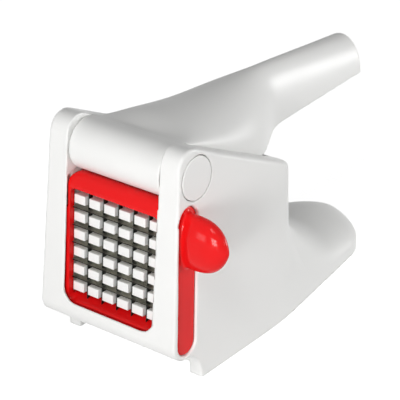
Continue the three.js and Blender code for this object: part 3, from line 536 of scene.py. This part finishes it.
def cassette_frame_field(s, x, w, v):
    """The front frame: the bar's front part, less the opening with its sloping sill, with a thin
    closed side and its tongue."""
    c = s.cassette
    bar = common(bar_field(s, x, w, v), w - c.face_depth, SPLIT_EDGE)
    sill = -c.half_height - c.chute_drop * np.clip(1 - w / c.chute_run, 0, 2)
    lintel = c.half_height + c.opening_rise
    middle, half = (lintel + sill) / 2, (lintel - sill) / 2
    opening = cornered(np.abs(x) - c.half_width, np.abs(v - middle) - half, c.opening_corner)
    bar = cut(bar, opening, OPENING_EDGE)
    relief = block(x, c.side_bar - w, np.abs(v) - c.half_height)
    bar = cut(bar, relief, THIN_EDGE)
    left = -s.body.chamber_half - c.tuck
    tongue_low = -c.half_height - c.lower_bar + c.depth / 2
    tongue = block(
        left - c.tongue - x, x + c.half_width, -w, w - c.side_bar, tongue_low - v, v - c.tongue_top
    )
    return np.minimum(bar, tongue)


def retainer_field(s, x, w, v):
    """The rear frame: the bar's rear part, open on the closed side so that the studs slide out."""
    c = s.cassette
    bar = common(bar_field(s, x, w, v), c.face_depth + CLEARANCE - w, SPLIT_EDGE)
    opening = block(x - c.half_width, np.abs(v) - c.half_height)
    return cut(bar, opening, OPENING_EDGE)


def end_plate_field(s, x, w, v, z):
    """The end plate with its thumb tab. The tab is a flattened dome: the oval share of its section
    to the power four thirds plus the share of its reach to the fourth power is one on its surface."""
    b, c = s.body, s.cassette
    outer = x - side_x(b, z) + c.plate_recess
    plate = common(stadium(b, c, s.lever.barrel, w, v, 0), outer, END_PLATE_EDGE)
    plate = common(plate, c.end_right + CLEARANCE - x, THIN_EDGE)
    root = b.half_width - c.plate_recess
    tip = side_x(b, HINGE_Z - c.grid_drop) + c.tab_reach
    share = np.maximum(x - root, 0) / (tip - root)
    neck = 1 - TAB_NECK * np.exp(-(((share - TAB_NECK_PLACE) / TAB_NECK_PLACE) ** 2))
    section = np.hypot((w - c.depth / 2) / (c.tab_depth * neck), (v - c.tab_rise) / c.tab_height)
    dome = (section**TAB_SECTION_POWER + share**TAB_REACH_POWER - 1) * TAB_FIELD_SCALE * MM
    dome = np.maximum(dome, c.end_right + CLEARANCE - x)
    return joined(plate, dome, TAB_FILLET)


# Surfaces from fields


def net(field, low, high, cell):
    """The surface of a field as quads. Space is cut into cubes, each cube that the surface crosses
    gets one point, and each edge of the lattice that it crosses gets the quad of the four cubes
    round that edge. The points are then moved down the field's slope on to its zero surface, by the
    field's value over its slope, and stay within a set share of an edge of their cube's middle."""
    low, high = np.array(low, float), np.array(high, float)
    count = np.ceil((high - low) / cell).astype(int) + 1
    lines = [low[i] + cell * np.arange(count[i]) for i in range(3)]
    x, y, z = np.meshgrid(*lines, indexing="ij", sparse=True)
    inside = field(x, y, z) < 0
    corners = np.zeros(count - 1, np.int8)
    for i in (0, 1):
        for j in (0, 1):
            for k in (0, 1):
                corners += inside[
                    i : count[0] - 1 + i, j : count[1] - 1 + j, k : count[2] - 1 + k
                ]
    mixed = (corners > 0) & (corners < 8)
    number = np.full(mixed.shape, -1)
    number[mixed] = np.arange(mixed.sum())
    start = low + cell * (np.argwhere(mixed) + 0.5)
    points = start.copy()
    for _ in range(SETTLING_ROUNDS):
        value, slope = value_and_slope(field, points, cell * SETTLING_STEP)
        size = np.maximum((slope**2).sum(1), 1e-4)
        points = points - (value / size)[:, None] * slope
        points = start + np.clip(points - start, -FARTHEST * cell, FARTHEST * cell)
    quads = np.concatenate([edge_quads(inside, number, axis) for axis in range(3)])
    slope = value_and_slope(field, points, cell * NORMAL_STEP)[1]
    return points, quads, slope / np.maximum(np.linalg.norm(slope, axis=1), 1e-9)[:, None]


def value_and_slope(field, points, step):
    """The field at some points and its slope there, from the values on either side."""
    x, y, z = points.T
    value = field(x, y, z)
    slope = np.stack(
        [
            field(x + step, y, z) - field(x - step, y, z),
            field(x, y + step, z) - field(x, y - step, z),
            field(x, y, z + step) - field(x, y, z - step),
        ],
        1,
    )
    return value, slope / (2 * step)


def edge_quads(inside, number, axis):
    """The quads round the lattice edges along one axis, turned so that they face out."""
    first, second = (axis + 1) % 3, (axis + 2) % 3
    solid = np.moveaxis(inside, (axis, first, second), (0, 1, 2))
    cubes = np.moveaxis(number, (axis, first, second), (0, 1, 2))
    start, end = solid[:-1, 1:-1, 1:-1], solid[1:, 1:-1, 1:-1]
    ring = np.stack(
        [cubes[:, :-1, :-1], cubes[:, 1:, :-1], cubes[:, 1:, 1:], cubes[:, :-1, 1:]], -1
    )
    outward, inward = ring[start & ~end], ring[~start & end][:, ::-1]
    return np.concatenate([outward, inward])


def piece(name, points, faces, body, material, nodes=(), normals=None):
    """A finished piece from arrays of points and faces, riding on a body."""
    mesh = bpy.data.meshes.new(name)
    points, faces = np.asarray(points, float), np.asarray(faces)
    mesh.vertices.add(len(points))
    mesh.vertices.foreach_set("co", points.ravel())
    mesh.loops.add(faces.size)
    mesh.loops.foreach_set("vertex_index", faces.ravel())
    mesh.polygons.add(len(faces))
    mesh.polygons.foreach_set("loop_start", np.arange(0, faces.size, faces.shape[1]))
    mesh.update(calc_edges=True)
    mesh.polygons.foreach_set("use_smooth", np.ones(len(faces), bool))
    if normals is not None:
        mesh.normals_split_custom_set_from_vertices(normals)
    mesh.validate()
    mesh.materials.append(material)
    thing = bpy.data.objects.new(name, mesh)
    bpy.context.scene.collection.objects.link(thing)
    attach(thing, body)
    if nodes:
        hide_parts(*nodes)


# Surfaces from two parameters


def turned(profile, around):
    """A closed surface of revolution. The profile is a list of distances along the axis and radii
    that starts and ends on the axis, and the second parameter is the turn about it. Returns the
    distance along the axis and the two offsets across it."""
    profile = np.array(profile, float)
    angle = np.linspace(0, 2 * np.pi, around, endpoint=False)
    along = np.repeat(profile[1:-1, 0], around)
    u = np.outer(profile[1:-1, 1], np.cos(angle)).ravel()
    v = np.outer(profile[1:-1, 1], np.sin(angle)).ravel()
    ring = np.arange(around)
    after = np.roll(ring, -1)
    rows = len(profile) - 2
    band = np.stack([ring, after, around + after, around + ring], 1)
    quads = [r * around + band for r in range(rows - 1)]
    first, last = rows * around, rows * around + 1
    start = np.stack([np.full(around, first), after, ring, ring], 1)
    end_row = (rows - 1) * around
    end = np.stack([np.full(around, last), end_row + ring, end_row + after, end_row + after], 1)
    along = np.append(along, [profile[0, 0], profile[-1, 0]])
    u, v = np.append(u, [0, 0]), np.append(v, [0, 0])
    triangles = np.concatenate([start, end])[:, :3]
    quads = np.concatenate(quads)
    halves = np.concatenate([quads[:, [0, 1, 2]], quads[:, [0, 2, 3]]])
    return along, u, v, np.concatenate([halves, triangles])


def rounded_bricks(centres, halves, radius, steps=5):
    """Bricks with rounded edges. Each is a ball of the edge's radius whose eight octants are pulled
    apart to the brick's corners: a point of the ball plus the sign of its direction times the
    inner half sizes."""
    line = np.tan(np.linspace(-np.pi / 4, np.pi / 4, steps + 1))
    u, v = (part.ravel() for part in np.meshgrid(line, line, indexing="ij"))
    one = np.ones_like(u)
    sides = [(u, v, one), (v, u, -one), (one, u, v), (-one, v, u), (v, one, u), (u, -one, v)]
    ball = np.concatenate([np.stack(side, 1) for side in sides])
    ball /= np.linalg.norm(ball, axis=1)[:, None]
    index = np.arange((steps + 1) ** 2).reshape(steps + 1, steps + 1)
    quad = np.stack([index[:-1, :-1], index[1:, :-1], index[1:, 1:], index[:-1, 1:]], -1).reshape(-1, 4)
    quads = np.concatenate([quad + side * (steps + 1) ** 2 for side in range(6)])
    centres, halves = np.atleast_2d(centres), np.atleast_2d(halves)
    inner = np.broadcast_to(halves, centres.shape) - radius
    points = centres[:, None] + ball * radius + np.sign(ball) * inner[:, None]
    shift = np.arange(len(centres))[:, None, None] * len(ball)
    return points.reshape(-1, 3), (quads + shift).reshape(-1, 4)


def on_rake(s, points):
    """Moves points from the cassette's own axes, across, into and up the rake, to the cutter's."""
    c = s.cassette
    grid_y, grid_z = grid_place(s.body, c)
    x, w, v = np.asarray(points, float).T
    y = grid_y + w * math.cos(c.rake) + v * math.sin(c.rake)
    z = grid_z - w * math.sin(c.rake) + v * math.cos(c.rake)
    return np.stack([x, y, z], 1)


# Materials


class Shader:
    """A material with one Principled shader, and short ways to add nodes to it."""

    def __init__(self, name, colour, **sockets):
        self.material = bpy.data.materials.new(name)
        self.material.use_nodes = True
        self.nodes = self.material.node_tree.nodes
        self.links = self.material.node_tree.links
        self.base = self.nodes["Principled BSDF"]
        self.base.inputs["Base Color"].default_value = (*colour, 1)
        for socket, value in sockets.items():
            self.base.inputs[socket.replace("_", " ")].default_value = value
        self.place = self.nodes.new("ShaderNodeTexCoord").outputs["Object"]

    def stretched(self, scale):
        """Object coordinates scaled apart along X, Y and Z."""
        mapping = self.nodes.new("ShaderNodeMapping")
        mapping.inputs["Scale"].default_value = scale
        self.links.new(self.place, mapping.inputs["Vector"])
        return mapping.outputs["Vector"]

    def noise(self, scale, detail=3, roughness=0.5, place=None):
        """Fractal noise over the given place."""
        node = self.nodes.new("ShaderNodeTexNoise")
        node.inputs["Scale"].default_value = scale
        node.inputs["Detail"].default_value = detail
        node.inputs["Roughness"].default_value = roughness
        self.links.new(place or self.place, node.inputs["Vector"])
        return node.outputs["Fac"]

    def span(self, value, low, high, from_low=0.3, from_high=0.7):
        """A value taken from one range to another."""
        node = self.nodes.new("ShaderNodeMapRange")
        node.inputs["From Min"].default_value = from_low
        node.inputs["From Max"].default_value = from_high
        node.inputs["To Min"].default_value = low
        node.inputs["To Max"].default_value = high
        self.links.new(value, node.inputs["Value"])
        return node.outputs["Result"]

    def mix(self, factor, first, second):
        """Two colours mixed by a factor."""
        node = self.nodes.new("ShaderNodeMix")
        node.data_type = "RGBA"
        self.links.new(factor, node.inputs["Factor"])
        node.inputs["A"].default_value = (*first, 1)
        node.inputs["B"].default_value = (*second, 1)
        return node.outputs["Result"]

    def feed(self, value, socket):
        """Links a value to a socket of the shader."""
        self.links.new(value, self.base.inputs[socket])

    def bump(self, height, strength, distance):
        """Raises the surface by a height."""
        node = self.nodes.new("ShaderNodeBump")
        node.inputs["Strength"].default_value = strength
        node.inputs["Distance"].default_value = distance
        self.links.new(height, node.inputs["Height"])
        self.links.new(node.outputs["Normal"], self.base.inputs["Normal"])


def shaded(colour, share):
    """A colour made darker or lighter by a share."""
    return tuple(min(1, part * share) for part in colour)


def moulded_plastic(name, colour, gloss, shine, tint_low, tint_high):
    """Moulded plastic: faint flow clouds in its colour, a polish that wanders a little, and the
    fine grain of the mould. Returns the shader."""
    shader = Shader(name, colour, Roughness=gloss, IOR=1.5, Specular_IOR_Level=shine)
    clouds = shader.noise(28, 4, 0.55)
    tint = shader.mix(shader.span(clouds, 0, 1), shaded(colour, tint_low), shaded(colour, tint_high))
    shader.feed(tint, "Base Color")
    shader.feed(shader.span(shader.noise(35, 3, 0.5), gloss * 0.96, gloss * 1.05), "Roughness")
    shader.bump(shader.noise(1400, 2, 0.5), 0.02, 0.02 * MM)
    return shader


def into_grid(shader, start, end):
    """Nothing in front of one depth behind the cassette's face, and one behind another."""
    scene = bpy.context.scene
    rake = scene.fry_cassette.rake
    grid_y, grid_z = grid_place(scene.fry_body, scene.fry_cassette)
    depth = shader.nodes.new("ShaderNodeVectorMath")
    depth.operation = "DOT_PRODUCT"
    depth.inputs[1].default_value = (0, math.cos(rake), -math.sin(rake))
    shader.links.new(shader.place, depth.inputs[0])
    face = grid_y * math.cos(rake) - grid_z * math.sin(rake)
    return shader.span(depth.outputs["Value"], 0, 1, face + start, face + end)


def ground_steel(name, colour, rough, along):
    """Ground steel: streaks along the grinding direction in its colour, roughness and height.
    Returns the shader and its colour."""
    shader = Shader(name, colour, Metallic=1.0, Roughness=rough)
    streaks = shader.noise(1, 5, 0.7, shader.stretched(along))
    clouds = shader.noise(160, 4, 0.6)
    tint = shader.mix(shader.span(clouds, 0, 1), shaded(colour, 0.6), shaded(colour, 1.2))
    shader.feed(tint, "Base Color")
    shader.feed(shader.span(streaks, rough * 0.7, rough * 1.5), "Roughness")
    shader.bump(streaks, 0.12, 0.1 * MM)
    return shader, tint


def darker(shader, factor, share, colour):
    """Painted shade: a colour times a share where the factor is nothing, and the colour itself where it is
    one.
    """
    node = shader.nodes.new("ShaderNodeMix")
    node.data_type, node.blend_type = "RGBA", "MULTIPLY"
    less = shader.nodes.new("ShaderNodeMath")
    less.operation = "SUBTRACT"
    less.inputs[0].default_value = 1
    shader.links.new(factor, less.inputs[1])
    shader.links.new(less.outputs["Value"], node.inputs["Factor"])
    shader.links.new(colour, node.inputs["A"])
    node.inputs["B"].default_value = (share, share, share, 1)
    shader.feed(node.outputs["Result"], "Base Color")


def foot_rubber(name, colour):
    """Rubber: dusty clouds and a fine grain."""
    shader = Shader(name, colour, Roughness=0.8)
    clouds = shader.span(shader.noise(200, 4), 0, 1)
    shader.feed(shader.mix(clouds, colour, shaded(colour, 2.2)), "Base Color")
    shader.bump(shader.noise(2500, 2), 0.3, 0.1 * MM)
    return shader


def finish(name):
    """One of the cutter's materials, made the first time that it is asked for."""
    found = bpy.data.materials.get(name)
    if found:
        return found
    colours = bpy.context.scene.fry_colours
    if name == "white_gloss_moulding":
        shader = moulded_plastic(name, tuple(colours.white), 0.34, 0.24, 0.992, 1.006)
    elif name == "inner_moulding":
        shader = moulded_plastic(name, tuple(colours.inner), 0.4, 0.2, 0.98, 1.01)
    elif name == "bush_nylon":
        shader = moulded_plastic(name, tuple(colours.nylon), 0.5, 0.3, 0.96, 1.02)
    elif name == "red_gloss_moulding":
        shader = moulded_plastic(name, tuple(colours.red), 0.13, 0.15, 0.96, 1.04)
    elif name == "level_blade_steel":
        shader, tint = ground_steel(name, tuple(colours.blade), 0.3, (60, 1400, 1400))
        # Painted shade: the level blades' front faces are painted near black, standing in for the shadow
        # under each blade's front edge.
        darker(shader, into_grid(shader, 2.43 * MM, 2.6 * MM), 0.06, tint)
    elif name == "upright_blade_steel":
        # Painted shade: near-black steel stands in for the shaded gaps between the studs.
        shader, _ = ground_steel(name, tuple(colours.upright), 0.3, (1400, 1400, 60))
    elif name == "pin_steel":
        shader, _ = ground_steel(name, tuple(colours.pin), 0.3, (900, 900, 900))
    else:
        shader = foot_rubber(name, tuple(colours.rubber))
    return shader.material


def dress(nodes, name):
    """Gives CAD nodes a finish, and leaves their shape alone."""
    material = finish(name)
    for node in nodes:
        mesh = frame["nodes"][node].data
        mesh.materials.clear()
        mesh.materials.append(material)


class Sizes:
    """The scene's property groups by short names."""

    def __init__(self, context):
        scene = context.scene
        self.body, self.tail, self.lever = scene.fry_body, scene.fry_tail, scene.fry_lever
        self.cassette = scene.fry_cassette


def around(*nodes, margin=1.6 * MM):
    """Lowest and highest corner of some CAD nodes, with a margin."""
    boxes = [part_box(node) for node in nodes]
    low = np.min([np.array(low) for low, _ in boxes], 0) - margin
    high = np.max([np.array(high) for _, high in boxes], 0) + margin
    return low, high


class PieceOperator:
    """What the operators share."""

    bl_options = {"REGISTER", "UNDO"}


class FRY_OT_body(PieceOperator, bpy.types.Operator):
    """Builds the white body with its window, chamber, slot and tail"""

    bl_idname = "fry.body"
    bl_label = "Body"

    def execute(self, context):
        s = Sizes(context)
        low, high = around("body_shell")
        points, faces, normals = net(lambda x, y, z: body_field(s, x, y, z), low, high, s.body.cell)
        points[:, 2] = np.maximum(points[:, 2], 0)
        piece(
            "body", points, faces, "body", finish("white_gloss_moulding"),
            ["body_shell"], normals,
        )
        return {"FINISHED"}


class FRY_OT_caps(PieceOperator, bpy.types.Operator):
    """Builds the two flush hinge caps"""

    bl_idname = "fry.hinge_caps"
    bl_label = "Hinge caps"

    def execute(self, context):
        b = Sizes(context).body
        radius, edge = b.cap_radius, CAP_EDGE
        bend = np.linspace(0, np.pi / 2, 7)
        rim = [(-edge + edge * math.sin(a), radius - edge + edge * math.cos(a)) for a in bend]
        face = [(0, radius * share) for share in (0.9, 0.7, 0.4, 0.15, 0)]
        back = [(-b.cap_depth, 0), (-b.cap_depth, radius - edge), (-b.cap_depth + edge, radius)]
        profile = [*back, *rim, *face]
        along, u, v, faces = turned(profile, 96)
        for side, word in ((-1, "left"), (1, "right")):
            tilt = np.where(along > -b.cap_depth / 2, -v * b.draft, 0)
            x = side * (b.half_width + along + tilt)
            points = np.stack([x, HINGE_Y + u, HINGE_Z + v], 1)
            turned_faces = faces if side > 0 else faces[:, ::-1]
            piece(
                f"cap_{word}", points, turned_faces, "body", finish("white_gloss_moulding"),
                [f"hinge_cap_{word}"],
            )
        return {"FINISHED"}


class FRY_OT_lever(PieceOperator, bpy.types.Operator):
    """Builds the lever: barrel, lid and handle in one moulding"""

    bl_idname = "fry.lever"
    bl_label = "Lever"

    def execute(self, context):
        s = Sizes(context)
        low, high = around("lever_shell")
        points, faces, normals = net(lambda x, y, z: lever_field(s, x, y, z), low, high, s.lever.cell)
        piece(
            "lever_moulding", points, faces, "lever", finish("white_gloss_moulding"),
            ["lever_shell"], normals,
        )
        return {"FINISHED"}


def raked_net(s, field, low, high):
    """The surface of a field in the cassette's own axes, moved to the cutter's."""
    points, faces, normals = net(field, low, high, s.cassette.cell)
    origin = on_rake(s, np.zeros((1, 3)))
    return on_rake(s, points), faces, on_rake(s, normals) - origin


class FRY_OT_cassette(PieceOperator, bpy.types.Operator):
    """Builds the red cassette's front frame, rear frame and end plate with its thumb tab"""

    bl_idname = "fry.cassette"
    bl_label = "Cassette"

    def execute(self, context):
        s = Sizes(context)
        c = s.cassette
        top = cassette_top(s.body, c, s.lever.barrel) + MM
        bottom = -c.half_height - c.lower_bar - MM
        left = -s.body.chamber_half - c.tuck - c.tongue - MM
        right = c.end_right + MM
        tip = side_x(s.body, HINGE_Z - c.grid_drop) + c.tab_reach + MM

        def plate(x, w, v):
            grid_z = grid_place(s.body, c)[1]
            z = grid_z - w * math.sin(c.rake) + v * math.cos(c.rake)
            return end_plate_field(s, x, w, v, z)

        def face(x, w, v):
            return cassette_frame_field(s, x, w, v)

        def back(x, w, v):
            return retainer_field(s, x, w, v)

        builds = (
            ("cassette_face", "cassette_frame", face, left, right),
            ("cassette_back", "cassette_retainer", back, left, right),
            ("cassette_end", "cassette_end_plate", plate, c.end_right - MM, tip),
        )
        for name, node, field, start, end in builds:
            low, high = (start, -MM, bottom), (end, c.depth + MM, top)
            points, faces, normals = raked_net(s, field, low, high)
            piece(
                name, points, faces, "cassette", finish("red_gloss_moulding"), [node],
                normals,
            )
        return {"FINISHED"}


class FRY_OT_studs(PieceOperator, bpy.types.Operator):
    """Builds the stud plate, a slab with one rounded stud for each stick"""

    bl_idname = "fry.studs"
    bl_label = "Stud plate"

    def execute(self, context):
        s = Sizes(context)
        c = s.cassette
        front, slab = c.depth + SLAB_AIR, SLAB_DEPTH
        line = (np.arange(STUDS) - (STUDS - 1) / 2) * c.pitch
        across, up = np.meshgrid(line, line)
        depth = front - c.stud_recess + slab / 2
        middle = np.full(across.size, c.stud_recess + depth / 2)
        centres = np.stack([across.ravel(), middle, up.ravel() - STUD_LOWERED], 1)
        stud_half = (STUD_HALF_WIDTH, depth / 2, STUD_HALF_HEIGHT)
        points, faces = rounded_bricks(centres, stud_half, STUD_EDGE)
        slab_half = (c.half_width - 0.1 * MM, slab / 2, SLAB_HALF_HEIGHT)
        more, more_faces = rounded_bricks((0, front + slab / 2, 0), slab_half, SLAB_EDGE)
        points, faces = np.concatenate([points, more]), np.concatenate([faces, more_faces + len(points)])
        piece(
            "studs", on_rake(s, points), faces, "lever", finish("white_gloss_moulding"),
            ["stud_plate", *(f"stud_row_{i}" for i in range(1, STUDS + 1))],
        )
        return {"FINISHED"}


class FRY_OT_blades(PieceOperator, bpy.types.Operator):
    """Builds the level and the upright blades of the grid"""

    bl_idname = "fry.blades"
    bl_label = "Blades"

    def execute(self, context):
        s = Sizes(context)
        c = s.cassette
        line = (np.arange(BLADES) - (BLADES - 1) / 2) * c.pitch
        none = np.zeros(BLADES)
        half, hold = c.blade / 2, BLADE_HOLD
        level = np.stack([none, none + c.level_setback + c.level_depth / 2, line], 1)
        level_half = (c.half_width + hold, c.level_depth / 2, half)
        upright = np.stack([line, none + c.upright_setback + c.upright_depth / 2, none - c.chute_drop / 2], 1)
        upright_half = (half, c.upright_depth / 2, c.half_height + c.chute_drop / 2 + hold)
        for kind, centres, halves in (("level", level, level_half), ("upright", upright, upright_half)):
            points, faces = rounded_bricks(centres, halves, BLADE_EDGE, 2)
            piece(
                f"{kind}_blades", on_rake(s, points), faces, "cassette", finish(f"{kind}_blade_steel"),
                [f"{kind}_blade_{i}" for i in range(1, BLADES + 1)],
            )
        return {"FINISHED"}


class FRY_OT_inner(PieceOperator, bpy.types.Operator):
    """Gives the pusher arm, the handle liner and the base cover their satin moulding"""

    bl_idname = "fry.inner_mouldings"
    bl_label = "Inner mouldings"

    def execute(self, context):
        dress(["pusher_arm", "handle_liner", "base_cover"], "inner_moulding")
        return {"FINISHED"}


class FRY_OT_hardware(PieceOperator, bpy.types.Operator):
    """Gives the axle, bushes, screws and pads their finishes"""

    bl_idname = "fry.hardware"
    bl_label = "Hardware"

    def execute(self, context):
        nodes = frame["nodes"]
        dress([n for n in nodes if "screw" in n or n == "hinge_axle"], "pin_steel")
        dress([n for n in nodes if n.startswith("axle_bush")], "bush_nylon")
        dress([n for n in nodes if n.startswith("foot_pad")], "pad_rubber")
        return {"FINISHED"}


def seen_directly(nodes, links):
    """One where a ray comes from the camera, a reflection or a pane, and nothing for diffuse light."""
    path = nodes.new("ShaderNodeLightPath")
    seen = path.outputs["Is Camera Ray"]
    for ray in ("Is Glossy Ray", "Is Transmission Ray"):
        most = nodes.new("ShaderNodeMath")
        most.operation = "MAXIMUM"
        links.new(seen, most.inputs[0])
        links.new(path.outputs[ray], most.inputs[1])
        seen = most.outputs["Value"]
    return seen


def floor_material(colour):
    """The floor: plain diffuse, lifted to white for the camera so that only the shadow shows."""
    material = bpy.data.materials.new("studio_floor")
    material.use_nodes = True
    nodes, links = material.node_tree.nodes, material.node_tree.links
    nodes.clear()
    output = nodes.new("ShaderNodeOutputMaterial")
    diffuse = nodes.new("ShaderNodeBsdfDiffuse")
    diffuse.inputs["Color"].default_value = (*colour, 1)
    lift = nodes.new("ShaderNodeEmission")
    strength = nodes.new("ShaderNodeMath")
    strength.operation = "MULTIPLY"
    strength.inputs[1].default_value = FLOOR_LIFT
    links.new(seen_directly(nodes, links), strength.inputs[0])
    links.new(strength.outputs["Value"], lift.inputs["Strength"])
    total = nodes.new("ShaderNodeAddShader")
    links.new(diffuse.outputs["BSDF"], total.inputs[0])
    links.new(lift.outputs["Emission"], total.inputs[1])
    links.new(total.outputs["Shader"], output.inputs["Surface"])
    return material


def soft_lamp(name, turned_by, raised_by, size, power):
    """A square area lamp that points at the cutter from a turn to the right of the front and a rise
    over the floor, both in degrees."""
    data = bpy.data.lights.new(name, "AREA")
    data.shape, data.size, data.energy = "SQUARE", size, power
    lamp = bpy.data.objects.new(name, data)
    bpy.context.scene.collection.objects.link(lamp)
    level, rise, far = math.radians(turned_by), math.radians(raised_by), LAMP_DISTANCE
    out = far * math.cos(rise)
    height = LAMP_AIM + far * math.sin(rise)
    lamp.location = (out * math.sin(level), -out * math.cos(level), height)
    lamp.rotation_euler = (math.pi / 2 - rise, 0, level)


class FRY_OT_stage(PieceOperator, bpy.types.Operator):
    """Builds the floor, the soft lamps, the pale surroundings and the camera"""

    bl_idname = "fry.stage"
    bl_label = "Stage"

    def execute(self, context):
        scene = context.scene
        colours = scene.fry_colours
        corners = [(x * FLOOR_HALF, y * FLOOR_HALF, 0) for x, y in ((-1, -1), (1, -1), (1, 1), (-1, 1))]
        mesh = bpy.data.meshes.new("floor")
        mesh.from_pydata(corners, [], [(0, 1, 2, 3)])
        mesh.materials.append(floor_material(tuple(colours.floor)))
        floor = bpy.data.objects.new("floor", mesh)
        scene.collection.objects.link(floor)
        soft_lamp("front_lamp", 16, 9, 0.3, 6.6)
        soft_lamp("front_left_lamp", -15, 6, 0.26, 1)
        soft_lamp("right_lamp", 88, 22, 0.16, 1.7)
        soft_lamp("upper_lamp", 20, 48, 0.3, 2.5)
        soft_lamp("rear_right_lamp", 140, 10, 0.3, 5.7)
        soft_lamp("left_lamp", -110, 15, 0.5, 1.6)
        world = bpy.data.worlds.new("surroundings")
        scene.world = world
        world.use_nodes = True
        nodes, links = world.node_tree.nodes, world.node_tree.links
        background = nodes["Background"]
        background.inputs["Color"].default_value = (1, 1, 1, 1)
        level = nodes.new("ShaderNodeMapRange")
        level.inputs["To Min"].default_value = SURROUNDINGS
        level.inputs["To Max"].default_value = SEEN_SURROUNDINGS
        links.new(seen_directly(nodes, links), level.inputs["Value"])
        links.new(level.outputs["Result"], background.inputs["Strength"])
        data = bpy.data.cameras.new("camera")
        data.sensor_width, data.lens = SENSOR, LENS
        data.clip_start, data.clip_end = 0.05, 20
        camera = bpy.data.objects.new("camera", data)
        scene.collection.objects.link(camera)
        camera.location = CAMERA_PLACE
        camera.rotation_euler = (math.radians(90 - CAMERA_DOWN), 0, math.radians(CAMERA_ROUND))
        scene.camera = camera
        scene.view_settings.view_transform = "Standard"
        return {"FINISHED"}


PIECES = (
    FRY_OT_body, FRY_OT_caps, FRY_OT_lever, FRY_OT_cassette, FRY_OT_studs, FRY_OT_blades,
    FRY_OT_inner, FRY_OT_hardware, FRY_OT_stage,
)


class FRY_PT_panel(bpy.types.Panel):
    """Lists the cutter's pieces in the sidebar"""

    bl_idname = "FRY_PT_panel"
    bl_label = "French fry cutter"
    bl_space_type = "VIEW_3D"
    bl_region_type = "UI"
    bl_category = "Cutter"

    def draw(self, context):
        for operator in PIECES:
            self.layout.operator(operator.bl_idname)


GROUPS = {
    "fry_body": FRY_PG_body,
    "fry_tail": FRY_PG_tail,
    "fry_lever": FRY_PG_lever,
    "fry_cassette": FRY_PG_cassette,
    "fry_colours": FRY_PG_colours,
}


def register():
    """Registers the property groups, the operators and the panel."""
    for group in GROUPS.values():
        bpy.utils.register_class(group)
    for name, group in GROUPS.items():
        setattr(bpy.types.Scene, name, bpy.props.PointerProperty(type=group))
    for operator in PIECES:
        bpy.utils.register_class(operator)
    bpy.utils.register_class(FRY_PT_panel)


def unregister():
    """Takes away what register added."""
    bpy.utils.unregister_class(FRY_PT_panel)
    for operator in reversed(PIECES):
        bpy.utils.unregister_class(operator)
    for name, group in reversed(list(GROUPS.items())):
        delattr(bpy.types.Scene, name)
        bpy.utils.unregister_class(group)


def main():
    """Registers the add-on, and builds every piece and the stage."""
    register()
    bpy.ops.fry.body()
    bpy.ops.fry.hinge_caps()
    bpy.ops.fry.lever()
    bpy.ops.fry.cassette()
    bpy.ops.fry.studs()
    bpy.ops.fry.blades()
    bpy.ops.fry.inner_mouldings()
    bpy.ops.fry.hardware()
    bpy.ops.fry.stage()


if __name__ == "__main__":
    main()
